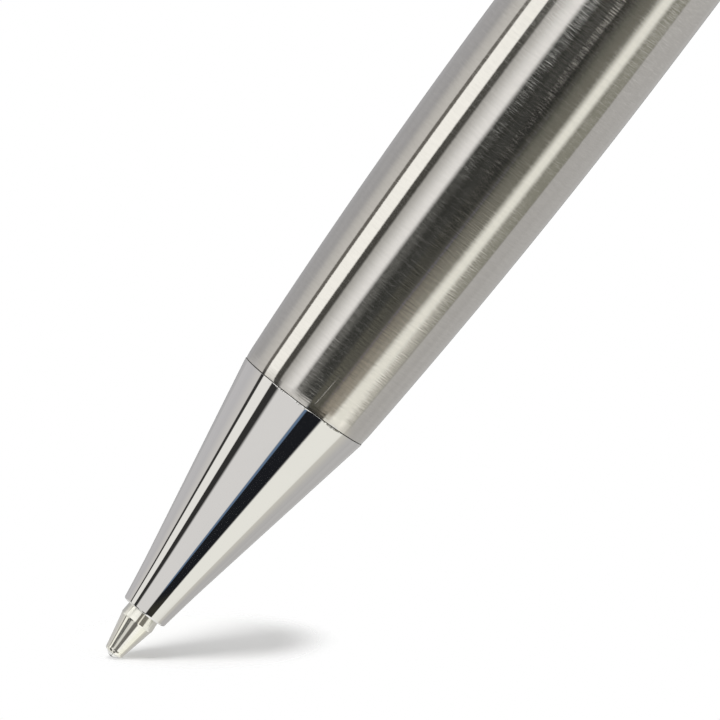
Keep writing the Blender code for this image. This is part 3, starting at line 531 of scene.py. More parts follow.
class ShaderGroup(ShaderTree):
    """A shader node group with named inputs and outputs."""

    def __init__(self, name: str, takes: Labels, gives: Labels, colours: Labels = ()) -> None:
        """Start a group of numbers and colours.

        Args:
            name: Name of the group.
            takes: Its inputs.
            gives: Its outputs.
            colours: Those of both that are colours.
        """
        super().__init__(bpy.data.node_groups.new(name, "ShaderNodeTree"))
        for way, labels in (("INPUT", takes), ("OUTPUT", gives)):
            for label in labels:
                kind = "NodeSocketColor" if label in colours else "NodeSocketFloat"
                self.tree.interface.new_socket(label, in_out=way, socket_type=kind)
        self.given = self.node("NodeGroupInput").outputs
        self.out = self.node("NodeGroupOutput")


class Effects:
    """The shader node groups that several finishes share."""

    def __init__(self) -> None:
        """Build each group once."""
        self.lines = self.brush_lines()
        self.wear = self.handling_marks()
        self.hair = self.hair_scratch()
        self.card = self.studio_card()

    def brush_lines(self) -> bpy.types.NodeTree:
        """Fine lines round the pen: long along the turn, narrow along the axis."""
        nodes = ShaderGroup(
            "brush_lines",
            ("Fine", "Broad", "Round", "Scratches"),
            ("Height", "Streak", "Patch", "Scratch"),
        )
        place = nodes.split(nodes.here())
        fine, broad, around = (nodes.given[label] for label in ("Fine", "Broad", "Round"))
        grain_height, streak_height, grain_roughness = 0.4, 0.2, 0.6
        patch_along, patch_around, scratch_around = 0.12, 0.35, 1.5
        scratch_start, scratch_full = 0.52, 0.70

        def stretched(along: object, aside: object, detail: float, shift: float) -> Socket:
            """Noise with one scale along the pen and another across it."""
            ways = (nodes.product(place["X"], along), nodes.product(place["Y"], aside))
            last = nodes.math("MULTIPLY_ADD", place["Z"], aside, shift)
            return nodes.noise(nodes.join(*ways, last), 1.0, detail, grain_roughness)

        grain = stretched(fine, around, detail=2.0, shift=0.0)
        streak = stretched(broad, around, detail=3.0, shift=7.3)
        patch_scales = (nodes.product(broad, patch_along), nodes.product(around, patch_around))
        patch = stretched(*patch_scales, detail=1.0, shift=21.7)
        scratch = stretched(fine, nodes.product(around, scratch_around), detail=0.0, shift=33.1)
        line = nodes.ease(scratch, scratch_start, scratch_full)
        ridge = nodes.product(line, nodes.given["Scratches"])
        both = nodes.math("ADD", nodes.product(grain, grain_height), nodes.product(streak, streak_height))
        height = nodes.math("ADD", both, ridge)
        nodes.fill(nodes.out, Height=height, Streak=streak, Patch=patch, Scratch=line)
        return nodes.tree

    def handling_marks(self) -> bpy.types.NodeTree:
        """Faint smudges and hair scratches on a polished face."""
        nodes = ShaderGroup(
            "handling_marks", ("Smudge Scale", "Scratch Scale", "Amount"), ("Mark", "Height")
        )
        place = nodes.here()
        bend_scale, bend_size = 260.0, 0.002
        hair_width, hair_share = 0.012, 0.35
        cloud_start, cloud_full = 0.45, 0.75
        smudge = nodes.noise(place, nodes.given["Smudge Scale"], detail=4.0)
        bend = nodes.noise(place, bend_scale).node.outputs["Color"]
        shrink = nodes.node("ShaderNodeVectorMath", bend, operation="SCALE")
        nodes.fill(shrink, Scale=bend_size)
        bent = nodes.node("ShaderNodeVectorMath", place, shrink.outputs["Vector"], operation="ADD")
        cells = nodes.node("ShaderNodeTexVoronoi", bent.outputs["Vector"], feature="DISTANCE_TO_EDGE")
        nodes.fill(cells, Scale=nodes.given["Scratch Scale"])
        hair = nodes.ease(cells.outputs["Distance"], 0.0, hair_width, 1.0, 0.0)
        cloud = nodes.ease(smudge, cloud_start, cloud_full)
        both = nodes.math("ADD", nodes.product(hair, hair_share), cloud)
        amount = nodes.given["Amount"]
        nodes.fill(nodes.out, Mark=nodes.product(both, amount), Height=nodes.product(hair, amount))
        return nodes.tree

    def hair_scratch(self) -> bpy.types.NodeTree:
        """One bent scratch along the pen with a nick at its rear end."""
        nodes = ShaderGroup("hair_scratch", ("Start", "Length", "Turn", "Sway", "Width"), ("Mark",))
        given = nodes.given
        place = nodes.split(nodes.here())
        across = nodes.math("SUBTRACT", place["Y"], AXIS.across)
        height = nodes.math("SUBTRACT", place["Z"], AXIS.height)
        radius = nodes.distance(across, height)
        along = nodes.math("SUBTRACT", nodes.math("SUBTRACT", place["X"], AXIS.tip), given["Start"])
        share = nodes.math("DIVIDE", along, given["Length"])
        bend = nodes.math("SQRT", nodes.math("MAXIMUM", share, 0.0))
        line = nodes.math("MULTIPLY_ADD", bend, given["Sway"], given["Turn"])
        turn = nodes.math("ARCTAN2", height, nodes.product(across, -1.0))
        aside = nodes.product(nodes.math("SUBTRACT", turn, line), radius)
        aside = nodes.math("ABSOLUTE", aside)
        fade_in, fade_out, last_level = 0.12, 0.55, 0.15
        nick_reach, nick_level = 2.0, 0.5
        hair = nodes.ease(aside, 0.0, given["Width"], 1.0, 0.0)
        front_end = nodes.ease(share, 0.0, fade_in)
        rear_end = nodes.ease(share, fade_out, 1.0, 1.0, last_level)
        inside = nodes.product(front_end, nodes.math("LESS_THAN", share, 1.0))
        streak = nodes.product(hair, nodes.product(inside, rear_end))
        reach = nodes.distance(nodes.math("SUBTRACT", along, given["Length"]), aside)
        nick = nodes.ease(reach, 0.0, nodes.product(given["Width"], nick_reach), nick_level, 0.0)
        nodes.fill(nodes.out, Mark=nodes.math("MAXIMUM", streak, nick))
        return nodes.tree

    def studio_card(self) -> bpy.types.NodeTree:
        """One card or soft box of the studio, laid over what is behind it."""
        ways = ("Turn", "Lean")
        limits = [f"{way} {end}{edge}" for way in ways for end in ("From", "To") for edge in ("", " Edge")]
        colours = ("Behind", "Card", "Colour")
        nodes = ShaderGroup("studio_card", ("Behind", "Card", *ways, *limits), ("Colour",), colours)

        def past(way: str, end: str) -> Socket:
            """Share by which a direction is past a soft limit."""
            limit = nodes.given[f"{way} {end}"]
            edge = nodes.given[f"{way} {end} Edge"]
            low = nodes.math("SUBTRACT", limit, edge)
            high = nodes.math("ADD", limit, edge)
            return nodes.ease(nodes.given[way], low, high)

        inside = (nodes.math("SUBTRACT", past(way, "From"), past(way, "To")) for way in ways)
        cover = nodes.product(1.0, *inside)
        nodes.fill(nodes.out, Colour=nodes.mix(cover, nodes.given["Behind"], nodes.given["Card"]))
        return nodes.tree


EFFECTS = Effects()


# Finishes

WHITE = (1.0, 1.0, 1.0)


def bare_tree(owner: bpy.types.Material | bpy.types.World) -> ShaderTree:
    """Give a material or a world an empty node tree."""
    owner.use_nodes = True
    owner.node_tree.nodes.clear()
    return ShaderTree(owner.node_tree)


def opaque(colour: Colour, level: float = 1.0) -> tuple[float, float, float, float]:
    """Colour at a level, as a node's colour input takes it."""
    return (*(channel * level for channel in colour), 1.0)


class Principled(ShaderTree):
    """A Principled material with its tree."""

    def __init__(self, name: str, colour: Colour, roughness: float, metallic: float) -> None:
        """Start the material.

        Args:
            name: Name of the material.
            colour: Base colour.
            roughness: Roughness.
            metallic: 1 for metal, 0 for anything else.
        """
        self.material = bpy.data.materials.new(name)
        self.material.use_nodes = True
        super().__init__(self.material.node_tree)
        self.shader = self.tree.nodes["Principled BSDF"]
        self.colour = colour
        self.fill(self.shader, Base_Color=opaque(colour), Roughness=roughness, Metallic=metallic)

    def tint(self, factor: Socket, low: float = 1.0, high: float = 1.0) -> None:
        """Let the base colour run from one level of itself to another."""
        shades = (opaque(self.colour, level) for level in (low, high))
        self.fill(self.shader, Base_Color=self.mix(factor, *shades))

    def bump(self, height: Socket, depth: float) -> None:
        """Raise the face, where a height of 1 stands for the real depth."""
        made = self.fill(self.node("ShaderNodeBump"), Strength=1.0, Distance=depth, Height=height)
        self.fill(self.shader, Normal=made.outputs["Normal"])


# Most of a noise's values lie between these two
NOISE_LOW = 0.3
NOISE_HIGH = 0.7

QUARTER_TURN = 0.25


@dataclass(frozen=True)
class Hair:
    """One hair scratch along the pen, with its turn from the camera's side in degrees."""

    start: float
    length: float
    turn: float
    sway: float
    width: float
    depth: float
    roughness: float

    def mask(self, nodes: ShaderTree) -> Socket:
        """The scratch's mask in a material's tree."""
        turn, sway = math.radians(self.turn), math.radians(self.sway)
        placed = nodes.group(
            EFFECTS.hair, Start=self.start, Length=self.length, Turn=turn, Sway=sway, Width=self.width
        )
        return placed.outputs["Mark"]


@dataclass(frozen=True)
class LinedMetal:
    """Metal with fine lines round the pen: brushed, ground or turned."""

    name: str
    colour: Colour
    roughness: float
    metallic: float = 1.0
    streak_shade: float = 0.88
    roughness_swing: float = 0.04
    anisotropy: float = 0.7
    fine: float = 9000.0
    broad: float = 3000.0
    around: float = 60.0
    scratches: float = 0.0
    scratch_roughness: float = 0.0
    line_depth: float = 0.0000016
    hair: Hair | None = None

    def material(self) -> bpy.types.Material:
        """Build the finish."""
        made = Principled(self.name, self.colour, self.roughness, self.metallic)
        lines = made.group(
            EFFECTS.lines, Fine=self.fine, Broad=self.broad, Round=self.around, Scratches=self.scratches
        ).outputs
        made.tint(made.ease(lines["Streak"], NOISE_LOW, NOISE_HIGH), low=self.streak_shade)
        low, high = (self.roughness + self.roughness_swing * side for side in (-1.0, 1.0))
        rough = made.ease(lines["Patch"], NOISE_LOW, NOISE_HIGH, low, high)
        if self.scratch_roughness > 0.0:
            rough = made.ease(lines["Scratch"], 0.0, 1.0, rough, self.scratch_roughness)
        height = lines["Height"]
        if self.hair is not None:
            mask = self.hair.mask(made)
            rough = made.ease(mask, 0.0, 1.0, rough, self.hair.roughness)
            height = made.math("MULTIPLY_ADD", mask, self.hair.depth / self.line_depth, height)
        tangent = made.node("ShaderNodeTangent", direction_type="RADIAL", axis="X").outputs["Tangent"]
        made.fill(made.shader, Roughness=rough, Tangent=tangent)
        made.fill(made.shader, Anisotropic=self.anisotropy, Anisotropic_Rotation=QUARTER_TURN)
        made.bump(height, self.line_depth)
        return made.material


@dataclass(frozen=True)
class PolishedMetal:
    """Mirror-polished metal with faint smudges and hair scratches."""

    name: str
    colour: Colour
    roughness: float
    marked_roughness: float
    marks: float
    marked_shade: float = 0.96
    smudge_scale: float = 420.0
    scratch_scale: float = 330.0
    scratch_depth: float = 0.0000005

    def material(self) -> bpy.types.Material:
        """Build the finish."""
        made = Principled(self.name, self.colour, self.roughness, 1.0)
        marks = made.group(
            EFFECTS.wear, Smudge_Scale=self.smudge_scale, Scratch_Scale=self.scratch_scale, Amount=self.marks
        ).outputs
        rough = made.ease(marks["Mark"], 0.0, 1.0, self.roughness, self.marked_roughness)
        made.fill(made.shader, Roughness=rough)
        made.tint(marks["Mark"], high=self.marked_shade)
        made.bump(marks["Height"], self.scratch_depth)
        return made.material


@dataclass(frozen=True)
class Moulded:
    """Plastic, rubber or ink with a faint grain."""

    name: str
    colour: Colour
    roughness: float
    grain_scale: float
    grain_depth: float
    grain_shade: float = 0.9

    def material(self) -> bpy.types.Material:
        """Build the finish."""
        made = Principled(self.name, self.colour, self.roughness, 0.0)
        grain = made.noise(made.here(), self.grain_scale, detail=3.0)
        made.tint(made.ease(grain, NOISE_LOW, NOISE_HIGH), low=self.grain_shade)
        made.bump(grain, self.grain_depth)
        return made.material


Finish = LinedMetal | PolishedMetal | Moulded

FINISHES: dict[Slot, Finish] = {
    Slot.BRUSHED_STEEL: LinedMetal(
        "brushed_steel",
        (0.72, 0.705, 0.675),
        roughness=0.065,
        streak_shade=0.955,
        roughness_swing=0.01,
        anisotropy=0.95,
        fine=11000.0,
        broad=7000.0,
        around=850.0,
        scratches=0.03,
        scratch_roughness=0.10,
        line_depth=0.0000085,
        hair=Hair(0.02118, 0.0030, turn=-8.0, sway=-2.25, width=0.00004, depth=0.000006, roughness=0.28),
    ),
    Slot.POLISHED_STEEL: PolishedMetal("polished_steel", (0.80, 0.795, 0.79), 0.035, 0.10, 0.2),
    Slot.NICKEL_SILVER: LinedMetal(
        "nickel_silver",
        (0.93, 0.92, 0.85),
        roughness=0.07,
        metallic=0.95,
        streak_shade=0.96,
        roughness_swing=0.015,
        fine=16000.0,
        broad=6000.0,
        line_depth=0.0000008,
    ),
    Slot.BRASS: LinedMetal("brass", (0.76, 0.58, 0.29), roughness=0.26),
    Slot.TURNED_STEEL: LinedMetal("turned_steel", (0.58, 0.58, 0.59), roughness=0.30),
    Slot.SPRING_STEEL: LinedMetal(
        "spring_steel", (0.50, 0.50, 0.52), roughness=0.24, anisotropy=0.0, around=900.0, line_depth=0.000001
    ),
    # The carbide's base colour is set far paler than the metal's own: partly the carbide, partly a painted
    # highlight that keeps the ball near white.
    Slot.CARBIDE: PolishedMetal("carbide", (0.86, 0.86, 0.85), 0.10, 0.22, 1.0),
    Slot.WHITE_PLASTIC: Moulded("white_plastic", (0.84, 0.84, 0.81), 0.42, 2400.0, 0.0000012),
    Slot.BLACK_RUBBER: Moulded("black_rubber", (0.03, 0.03, 0.03), 0.7, 3600.0, 0.000003),
    Slot.BLUE_INK: Moulded("blue_ink", (0.02, 0.03, 0.22), 0.15, 500.0, 0.0000006),
}
# Near-black steel for the nose's shank and thread crest: painted shade, so the gap behind the seam reads as
# a dark line.
SEAM_SHADE_STEEL = LinedMetal("oiled_steel", (0.10, 0.097, 0.09), roughness=0.5, anisotropy=0.3)


class Wardrobe:
    """Makes each finish once and dresses pieces with it."""

    def __init__(self) -> None:
        """Start with no material made."""
        self.made: dict[str, bpy.types.Material] = {}

    def of(self, slot: Slot, finish: Finish | None = None) -> bpy.types.Material:
        """The material of a slot or of a finish of its own, built on first use."""
        wanted = finish or FINISHES[slot]
        if wanted.name not in self.made:
            self.made[wanted.name] = wanted.material()
        return self.made[wanted.name]

    def paint(self, piece: Piece, slot: Slot, finish: Finish | None = None) -> None:
        """Give a piece its finish as its only material."""
        piece.data.materials.clear()
        piece.data.materials.append(self.of(slot, finish))

    def dress(
        self, piece: Piece, slot: Slot, body: Body, *nodes: str, finish: Finish | None = None
    ) -> None:
        """Finish a new piece and put it in the frame.

        Args:
            piece: The piece.
            slot: Material slot it takes its finish from.
            body: Body it rides on.
            nodes: CAD nodes it stands for.
            finish: Finish of its own within the slot's metal.
        """
        self.paint(piece, slot, finish)
        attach(piece, body.value)
        if nodes:
            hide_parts(*nodes)
        LOG.info("%s: %d faces on %s", piece.name, len(piece.data.polygons), body.value)

    def dress_node(self, name: str, slot: Slot) -> None:
        """Give a CAD node that stays its finish."""
        self.paint(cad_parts[name], slot)
        LOG.info("%s: packed mesh, %s", name, slot.value)


# The pen

# Points within this many chamfers of an edge lie on it
EDGE_CHAMFERS = 1.5

# Share of a rubbed place's depth by which it bites into the flat face
FACE_SHARE = 0.7


@dataclass(frozen=True)
class Wear:
    """A rubbed place on a round edge, in degrees round the pen from +Y towards +Z."""

    turn: float
    spread: float
    depth: float
    least: float = 0.7
    swing: float = 0.6
    grain: float = 30.0

    def bite(self, turn: float) -> float:
        """Depth of the rubbed place at an angle in radians, a little uneven along the edge."""
        away = (math.degrees(turn) % 360.0 - self.turn) / self.spread
        if abs(away) >= 1.0:
            return 0.0
        where = Vector((math.cos(turn) * self.grain, math.sin(turn) * self.grain, self.turn))
        return self.depth * (1.0 - away * away) * (self.least + self.swing * noise.noise(where))


@dataclass
class Nose:
    """Polished cone with its bores and threaded shank."""

    front: float = 0.00358
    length: float = 0.0172
    tip_radius: float = 0.00151
    lip_swell: float = 0.00008
    lip_length: float = 0.004
    seam_radius: float = 0.0047
    edge_round: float = 0.00014
    edge_end: float = -4.0
    edge_steps: int = 8
    bore_radius: float = 0.0013
    bore_chamfer: float = 0.00006
    seam_chamfer: float = 0.00001
    seat_depth: float = 0.00012
    seat_rise: float = 0.00005
    shank_lap: float = 0.0001
    shank_radius: float = 0.0037
    shank_length: float = 0.0057
    shank_root: float = 0.00352
    relief_length: float = 0.0008
    room_radius: float = 0.00315
    spring_bore: float = 0.00255
    spring_step: float = 0.0116
    wide_bore: float = 0.0177
    cone_stations: int = 32
    thread_turns: float = 8.0
    thread_crest: float = 0.00017
    thread_steps: int = 64
    thread_sides: int = 6
    wear: tuple[Wear, ...] = (
        Wear(159.0, 9.0, 0.00008),
        Wear(179.0, 12.0, 0.00012),
        Wear(212.0, 12.0, 0.00012),
    )

    def rubbed(self, radius: float, station: float, turn: float) -> tuple[float, float]:
        """Widen the chamfer at the seam where the edge is rubbed."""
        seam = self.front + self.length
        near = self.seam_chamfer * EDGE_CHAMFERS
        if radius <= self.seam_radius - near or station <= seam - near:
            return radius, station
        bite = sum(place.bite(turn) for place in self.wear)
        if station < seam:
            return self.radius(station - bite - self.front), station - bite
        return radius - bite * FACE_SHARE, station

    def radius(self, height: float) -> float:
        """Outer radius at a height behind the front face."""
        cone = self.tip_radius + (self.seam_radius - self.tip_radius) * height / self.length
        fade = max(0.0, 1.0 - height / self.lip_length)
        return cone + self.lip_swell * fade * fade

    def outline(self) -> Outline:
        """Closed section of the cone with its bores."""
        edge = self.edge_round
        chamfer = self.seam_chamfer
        seam = self.front + self.length
        centre = (self.radius(edge) - edge, self.front + edge)
        front_edge = arc(centre, edge, -90.0, self.edge_end, self.edge_steps)
        heights = [height for height in steps(0.0, self.length, self.cone_stations) if height > edge]
        cone = [(self.radius(height), self.front + height) for height in heights[:-1]]
        rear = [
            (self.radius(self.length - chamfer), seam - chamfer),
            (self.seam_radius - chamfer, seam),
            (self.room_radius, seam),
        ]
        bore = [
            (self.room_radius, self.wide_bore),
            (self.spring_bore, self.wide_bore - (self.room_radius - self.spring_bore)),
            (self.spring_bore, self.spring_step),
            (self.bore_radius, self.spring_step),
            (self.bore_radius, self.front + self.bore_chamfer),
            (self.bore_radius + self.bore_chamfer, self.front),
        ]
        return front_edge + cone + rear + bore

    def shank_outline(self) -> Outline:
        """Closed section of the shank, from just inside the cone to its rear end."""
        seam = self.front + self.length
        seat = self.seam_radius - self.seat_depth
        rear = seam + self.shank_length
        return [
            (seat, seam - self.shank_lap),
            (seat, seam + self.seat_rise),
            (self.shank_root, seam + self.seat_rise),
            (self.shank_root, rear - self.edge_round),
            (self.shank_root - self.edge_round, rear),
            (self.room_radius + self.seam_chamfer, rear),
            (self.room_radius + self.seam_chamfer, seam - self.shank_lap),
        ]

    def build(self, wardrobe: Wardrobe, coils: CoilTree) -> None:
        """Build the cone, its shank and the crest of its thread."""
        shell = turned("nose_shell", self.outline(), sides=FINE_EDGE_SIDES, shift=self.rubbed)
        wardrobe.dress(shell, Slot.POLISHED_STEEL, Body.NOSE, "nose_cone")
        # The shank and the thread crest take near-black steel: painted shade in the gap at the seam.
        shank = turned("nose_shank", self.shank_outline())
        wardrobe.dress(shank, Slot.POLISHED_STEEL, Body.NOSE, finish=SEAM_SHADE_STEEL)
        start = self.front + self.length + self.relief_length
        length = self.shank_length - self.relief_length - self.thread_crest * 2.0
        thread = coils.run(
            "nose_thread",
            place=AXIS.stand(start + self.thread_crest),
            Turns=self.thread_turns,
            Steps=self.thread_steps,
            Coil_Radius=self.shank_radius - self.thread_crest,
            Length=length,
            Wire_Radius=self.thread_crest,
            Wire_Sides=self.thread_sides,
            Material=wardrobe.of(Slot.POLISHED_STEEL, SEAM_SHADE_STEEL),
        )
        wardrobe.dress(thread, Slot.POLISHED_STEEL, Body.NOSE, finish=SEAM_SHADE_STEEL)


@dataclass
class Barrel:
    """Brushed tube that swells behind the seam."""

    front: float = 0.020835
    length: float = 0.083065
    seam_radius: float = 0.0047
    widest_radius: float = 0.00585
    widest_setback: float = 0.032
    rear_radius: float = 0.0054
    chamfer: float = 0.00001
    rear_edge: float = 0.00025
    roll_over: float = 0.00003
    roll_length: float = 0.0008
    roll_stations: int = 8
    front_bore: float = 0.0038
    wall: float = 0.00085
    front_seat: float = 0.010
    rear_seat: float = 0.0135
    rear_bore: float = 0.00455
    stations: int = 60
    bore_stations: int = 6
    wear: tuple[Wear, ...] = (
        Wear(147.0, 4.0, 0.00003),
        Wear(171.0, 4.0, 0.00004),
        Wear(213.0, 5.0, 0.00005),
    )

    def radius(self, height: float) -> float:
        """Outer radius at a height behind the front face."""
        if height < self.widest_setback:
            share = (self.widest_setback - height) / self.widest_setback
            drop = self.widest_radius - self.seam_radius
        else:
            share = (height - self.widest_setback) / (self.length - self.widest_setback)
            drop = self.widest_radius - self.rear_radius
        rolled = max(0.0, 1.0 - height / self.roll_length)
        return self.widest_radius - drop * share * share - self.roll_over * rolled * rolled

    def outline(self) -> Outline:
        """Closed section of the tube."""
        heights = steps(self.chamfer, self.roll_length, self.roll_stations)
        heights += steps(self.roll_length, self.length - self.rear_edge, self.stations)[1:]
        start = [(self.radius(self.chamfer) - self.chamfer, self.front)]
        body = [(self.radius(height), self.front + height) for height in heights]
        rear = self.front + self.length
        seat = rear - self.rear_seat
        front_seat = self.front + self.front_seat
        end = [(self.rear_radius - self.rear_edge, rear), (self.rear_bore, rear), (self.rear_bore, seat)]
        hollow = [
            (self.radius(station - self.front) - self.wall, station)
            for station in steps(seat, front_seat, self.bore_stations)
        ]
        last = hollow.pop()[0]
        bore = [
            (last, front_seat + last - self.front_bore),
            (self.front_bore, front_seat),
            (self.front_bore, self.front + self.chamfer),
            (self.front_bore + self.chamfer, self.front),
        ]
        return start + body + end + hollow + bore

    def rubbed(self, radius: float, station: float, turn: float) -> tuple[float, float]:
        """Widen the chamfer at the seam where the edge is rubbed."""
        near = self.chamfer * EDGE_CHAMFERS
        if radius < self.radius(0.0) - near or station > self.front + near:
            return radius, station
        bite = sum(place.bite(turn) for place in self.wear)
        if station > self.front:
            return radius, station + bite
        return radius - bite * FACE_SHARE, station

    def build(self, wardrobe: Wardrobe) -> None:
        """Build the tube."""
        shell = turned("barrel_shell", self.outline(), sides=FINE_EDGE_SIDES, shift=self.rubbed)
        wardrobe.dress(shell, Slot.BRUSHED_STEEL, Body.BARREL, "barrel")


@dataclass
class Writing:
    """Refill: ball, point, neck, tube and plug, with its return spring."""

    ball_radius: float = 0.0005
    lip_setback: float = 0.00025
    lip_wall: float = 0.00005
    swage_setback: float = 0.00055
    swage_radius: float = 0.00068
    point_radius: float = 0.00119
    point_sharp: float = 9.0
    point_edge: float = 0.00004
    point_taper: float = 0.00009
    point_straight: float = 0.0041
    cone_length: float = 0.00228
    point_length: float = 0.0154
    socket_gap: float = 0.00003
    capillary: float = 0.0002
    capillary_length: float = 0.0012
    point_bore: float = 0.00045
    neck_front: float = 0.0119
    neck_length: float = 0.0061
    neck_radius: float = 0.00165
    neck_socket: float = 0.00129
    neck_edge: float = 0.00012
    shoulder: float = 0.0008
    spigot: float = 0.0027
    tube_radius: float = 0.00295
    tube_bore: float = 0.00255
    tube_front: float = 0.0189
    tube_rear: float = 0.0962
    tube_edge: float = 0.00015
    bead_depth: float = 0.00012
    bead_length: float = 0.0006
    bead_setback: float = 0.0022
    plug_head: float = 0.0018
    plug_spigot: float = 0.0031
    plug_fit: float = 0.0001
    plug_vent: float = 0.0004
    refill_rear: float = 0.0981
    ink_bore: float = 0.0007
    spring_front: float = 0.0117
    spring_rear: float = 0.0179
    spring_radius: float = 0.0021
    wire_radius: float = 0.0002
    spring_turns: float = 5.5
    spring_steps: int = 40
    wire_sides: int = 12
    curve_steps: int = 20
    ball_steps: int = 40
    edge_steps: int = 5
    bead_steps: int = 8

    def point_outline(self) -> Outline:
        """Closed section of the point, from its lip back."""
        edge = self.point_edge
        socket = self.ball_radius + self.socket_gap
        lip = math.acos((self.ball_radius - self.lip_setback) / socket)
        back = math.pi - math.asin(self.capillary / socket)
        cup = [
            (socket * math.sin(turn), self.ball_radius - socket * math.cos(turn))
            for turn in steps(back, lip, self.curve_steps)
        ]
        lip_radius = cup[-1][0] + self.lip_wall
        widening = self.swage_radius - lip_radius
        reach = self.swage_setback - self.lip_setback
        swage = [
            (lip_radius + widening * math.sin(turn), self.swage_setback - reach * math.cos(turn))
            for turn in steps(0.0, math.pi / 2.0, self.curve_steps)
        ]
        cone_rear = self.swage_setback + self.cone_length
        rear = self.lip_setback + self.point_length
        funnel = self.ball_radius + socket + self.capillary_length
        body = [
            (self.point_radius - edge, cone_rear - edge * 2.0),
            (self.point_radius, cone_rear),
            (self.point_radius - self.point_taper, self.point_straight),
            (self.point_radius - self.point_taper, rear - edge),
            (self.point_radius - edge, rear),
            (self.point_bore, rear),
            (self.point_bore, funnel + self.point_bore),
            (self.capillary, funnel),
        ]
        return swage + body + cup

    def ball_outline(self) -> Outline:
        """Half circle of the ball, with its two ends on the axis."""
        turns = steps(0.0, math.pi, self.ball_steps)[1:-1]
        side = [
            (self.ball_radius * math.sin(turn), self.ball_radius * (1.0 - math.cos(turn))) for turn in turns
        ]
        return [(0.0, 0.0)] + side + [(0.0, self.ball_radius * 2.0)]

    def build(self, wardrobe: Wardrobe, coils: CoilTree) -> None:
        """Build the refill and its spring."""
        ball = turned("rolling_ball", self.ball_outline(), FINE_SIDES)
        wardrobe.dress(ball, Slot.CARBIDE, Body.BALL, "writing_ball")
        point = turned("point_shell", self.point_outline(), ROUND_SIDES, sharp=self.point_sharp)
        wardrobe.dress(point, Slot.NICKEL_SILVER, Body.REFILL, "refill_point")
        self.build_neck(wardrobe)
        self.build_tube(wardrobe)
        self.build_spring(wardrobe, coils)

    def build_neck(self, wardrobe: Wardrobe) -> None:
        """Build the stepped adapter."""
        front = self.neck_front
        step = front + self.neck_length
        rear = step + self.shoulder
        edge = self.neck_edge
        socket_end = self.lip_setback + self.point_length + edge
        section = [
            (self.neck_radius - edge, front),
            (self.neck_radius, front + edge),
            (self.neck_radius, step),
            (self.tube_radius - edge, step),
            (self.tube_radius, step + edge),
            (self.tube_radius, rear),
            (self.tube_bore - edge, rear),
            (self.tube_bore - edge, rear + self.spigot),
            (self.ink_bore, rear + self.spigot),
            (self.ink_bore, socket_end),
            (self.neck_socket, socket_end),
            (self.neck_socket, front),
        ]
        neck = turned("neck_shell", section, FINE_SIDES)
        wardrobe.dress(neck, Slot.BRASS, Body.REFILL, "refill_neck")

    def build_tube(self, wardrobe: Wardrobe) -> None:
        """Build the ink tube and the plug in its rear end."""
        edge = self.tube_edge
        crimp = self.tube_front + self.bead_setback
        outer, bore = self.tube_radius, self.tube_bore
        groove = [
            (outer - self.bead_depth * math.sin(math.pi * share), crimp + self.bead_length * share)
            for share in even(self.bead_steps)
        ]
        section = ring(outer, bore, self.tube_front, self.tube_rear, edge, self.edge_steps, groove)
        tube = turned("tube_shell", section, FINE_SIDES)
        wardrobe.dress(tube, Slot.TURNED_STEEL, Body.REFILL, "refill_tube")
        head = self.refill_rear - self.plug_head
        spigot = head - self.plug_spigot
        section = [
            (bore - edge, spigot),
            (bore - self.plug_fit, head),
            (outer, head),
            (outer, self.refill_rear - edge),
            (outer - edge, self.refill_rear),
            (self.plug_vent, self.refill_rear),
            (self.plug_vent, spigot),
        ]
        plug = turned("plug_shell", section, FINE_SIDES)
        wardrobe.dress(plug, Slot.WHITE_PLASTIC, Body.REFILL, "refill_plug")

    def build_spring(self, wardrobe: Wardrobe, coils: CoilTree) -> None:
        """Wind the return spring between the nose's step and the neck."""
        spring = coils.run(
            "spring_coil",
            place=AXIS.stand(self.spring_front + self.wire_radius),
            Turns=self.spring_turns,
            Steps=self.spring_steps,
            Coil_Radius=self.spring_radius,
            Length=self.spring_rear - self.spring_front - 2.0 * self.wire_radius,
            Wire_Radius=self.wire_radius,
            Wire_Sides=self.wire_sides,
            Material=wardrobe.of(Slot.SPRING_STEEL),
        )
        wardrobe.paint(spring, Slot.SPRING_STEEL)
        AXIS.point(0.0, 0.0, self.spring_front)
        AXIS.point(0.0, 0.0, self.spring_rear)
        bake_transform(spring)
        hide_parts("return_spring")
        LOG.info("spring_coil: %d faces", len(spring.data.polygons))


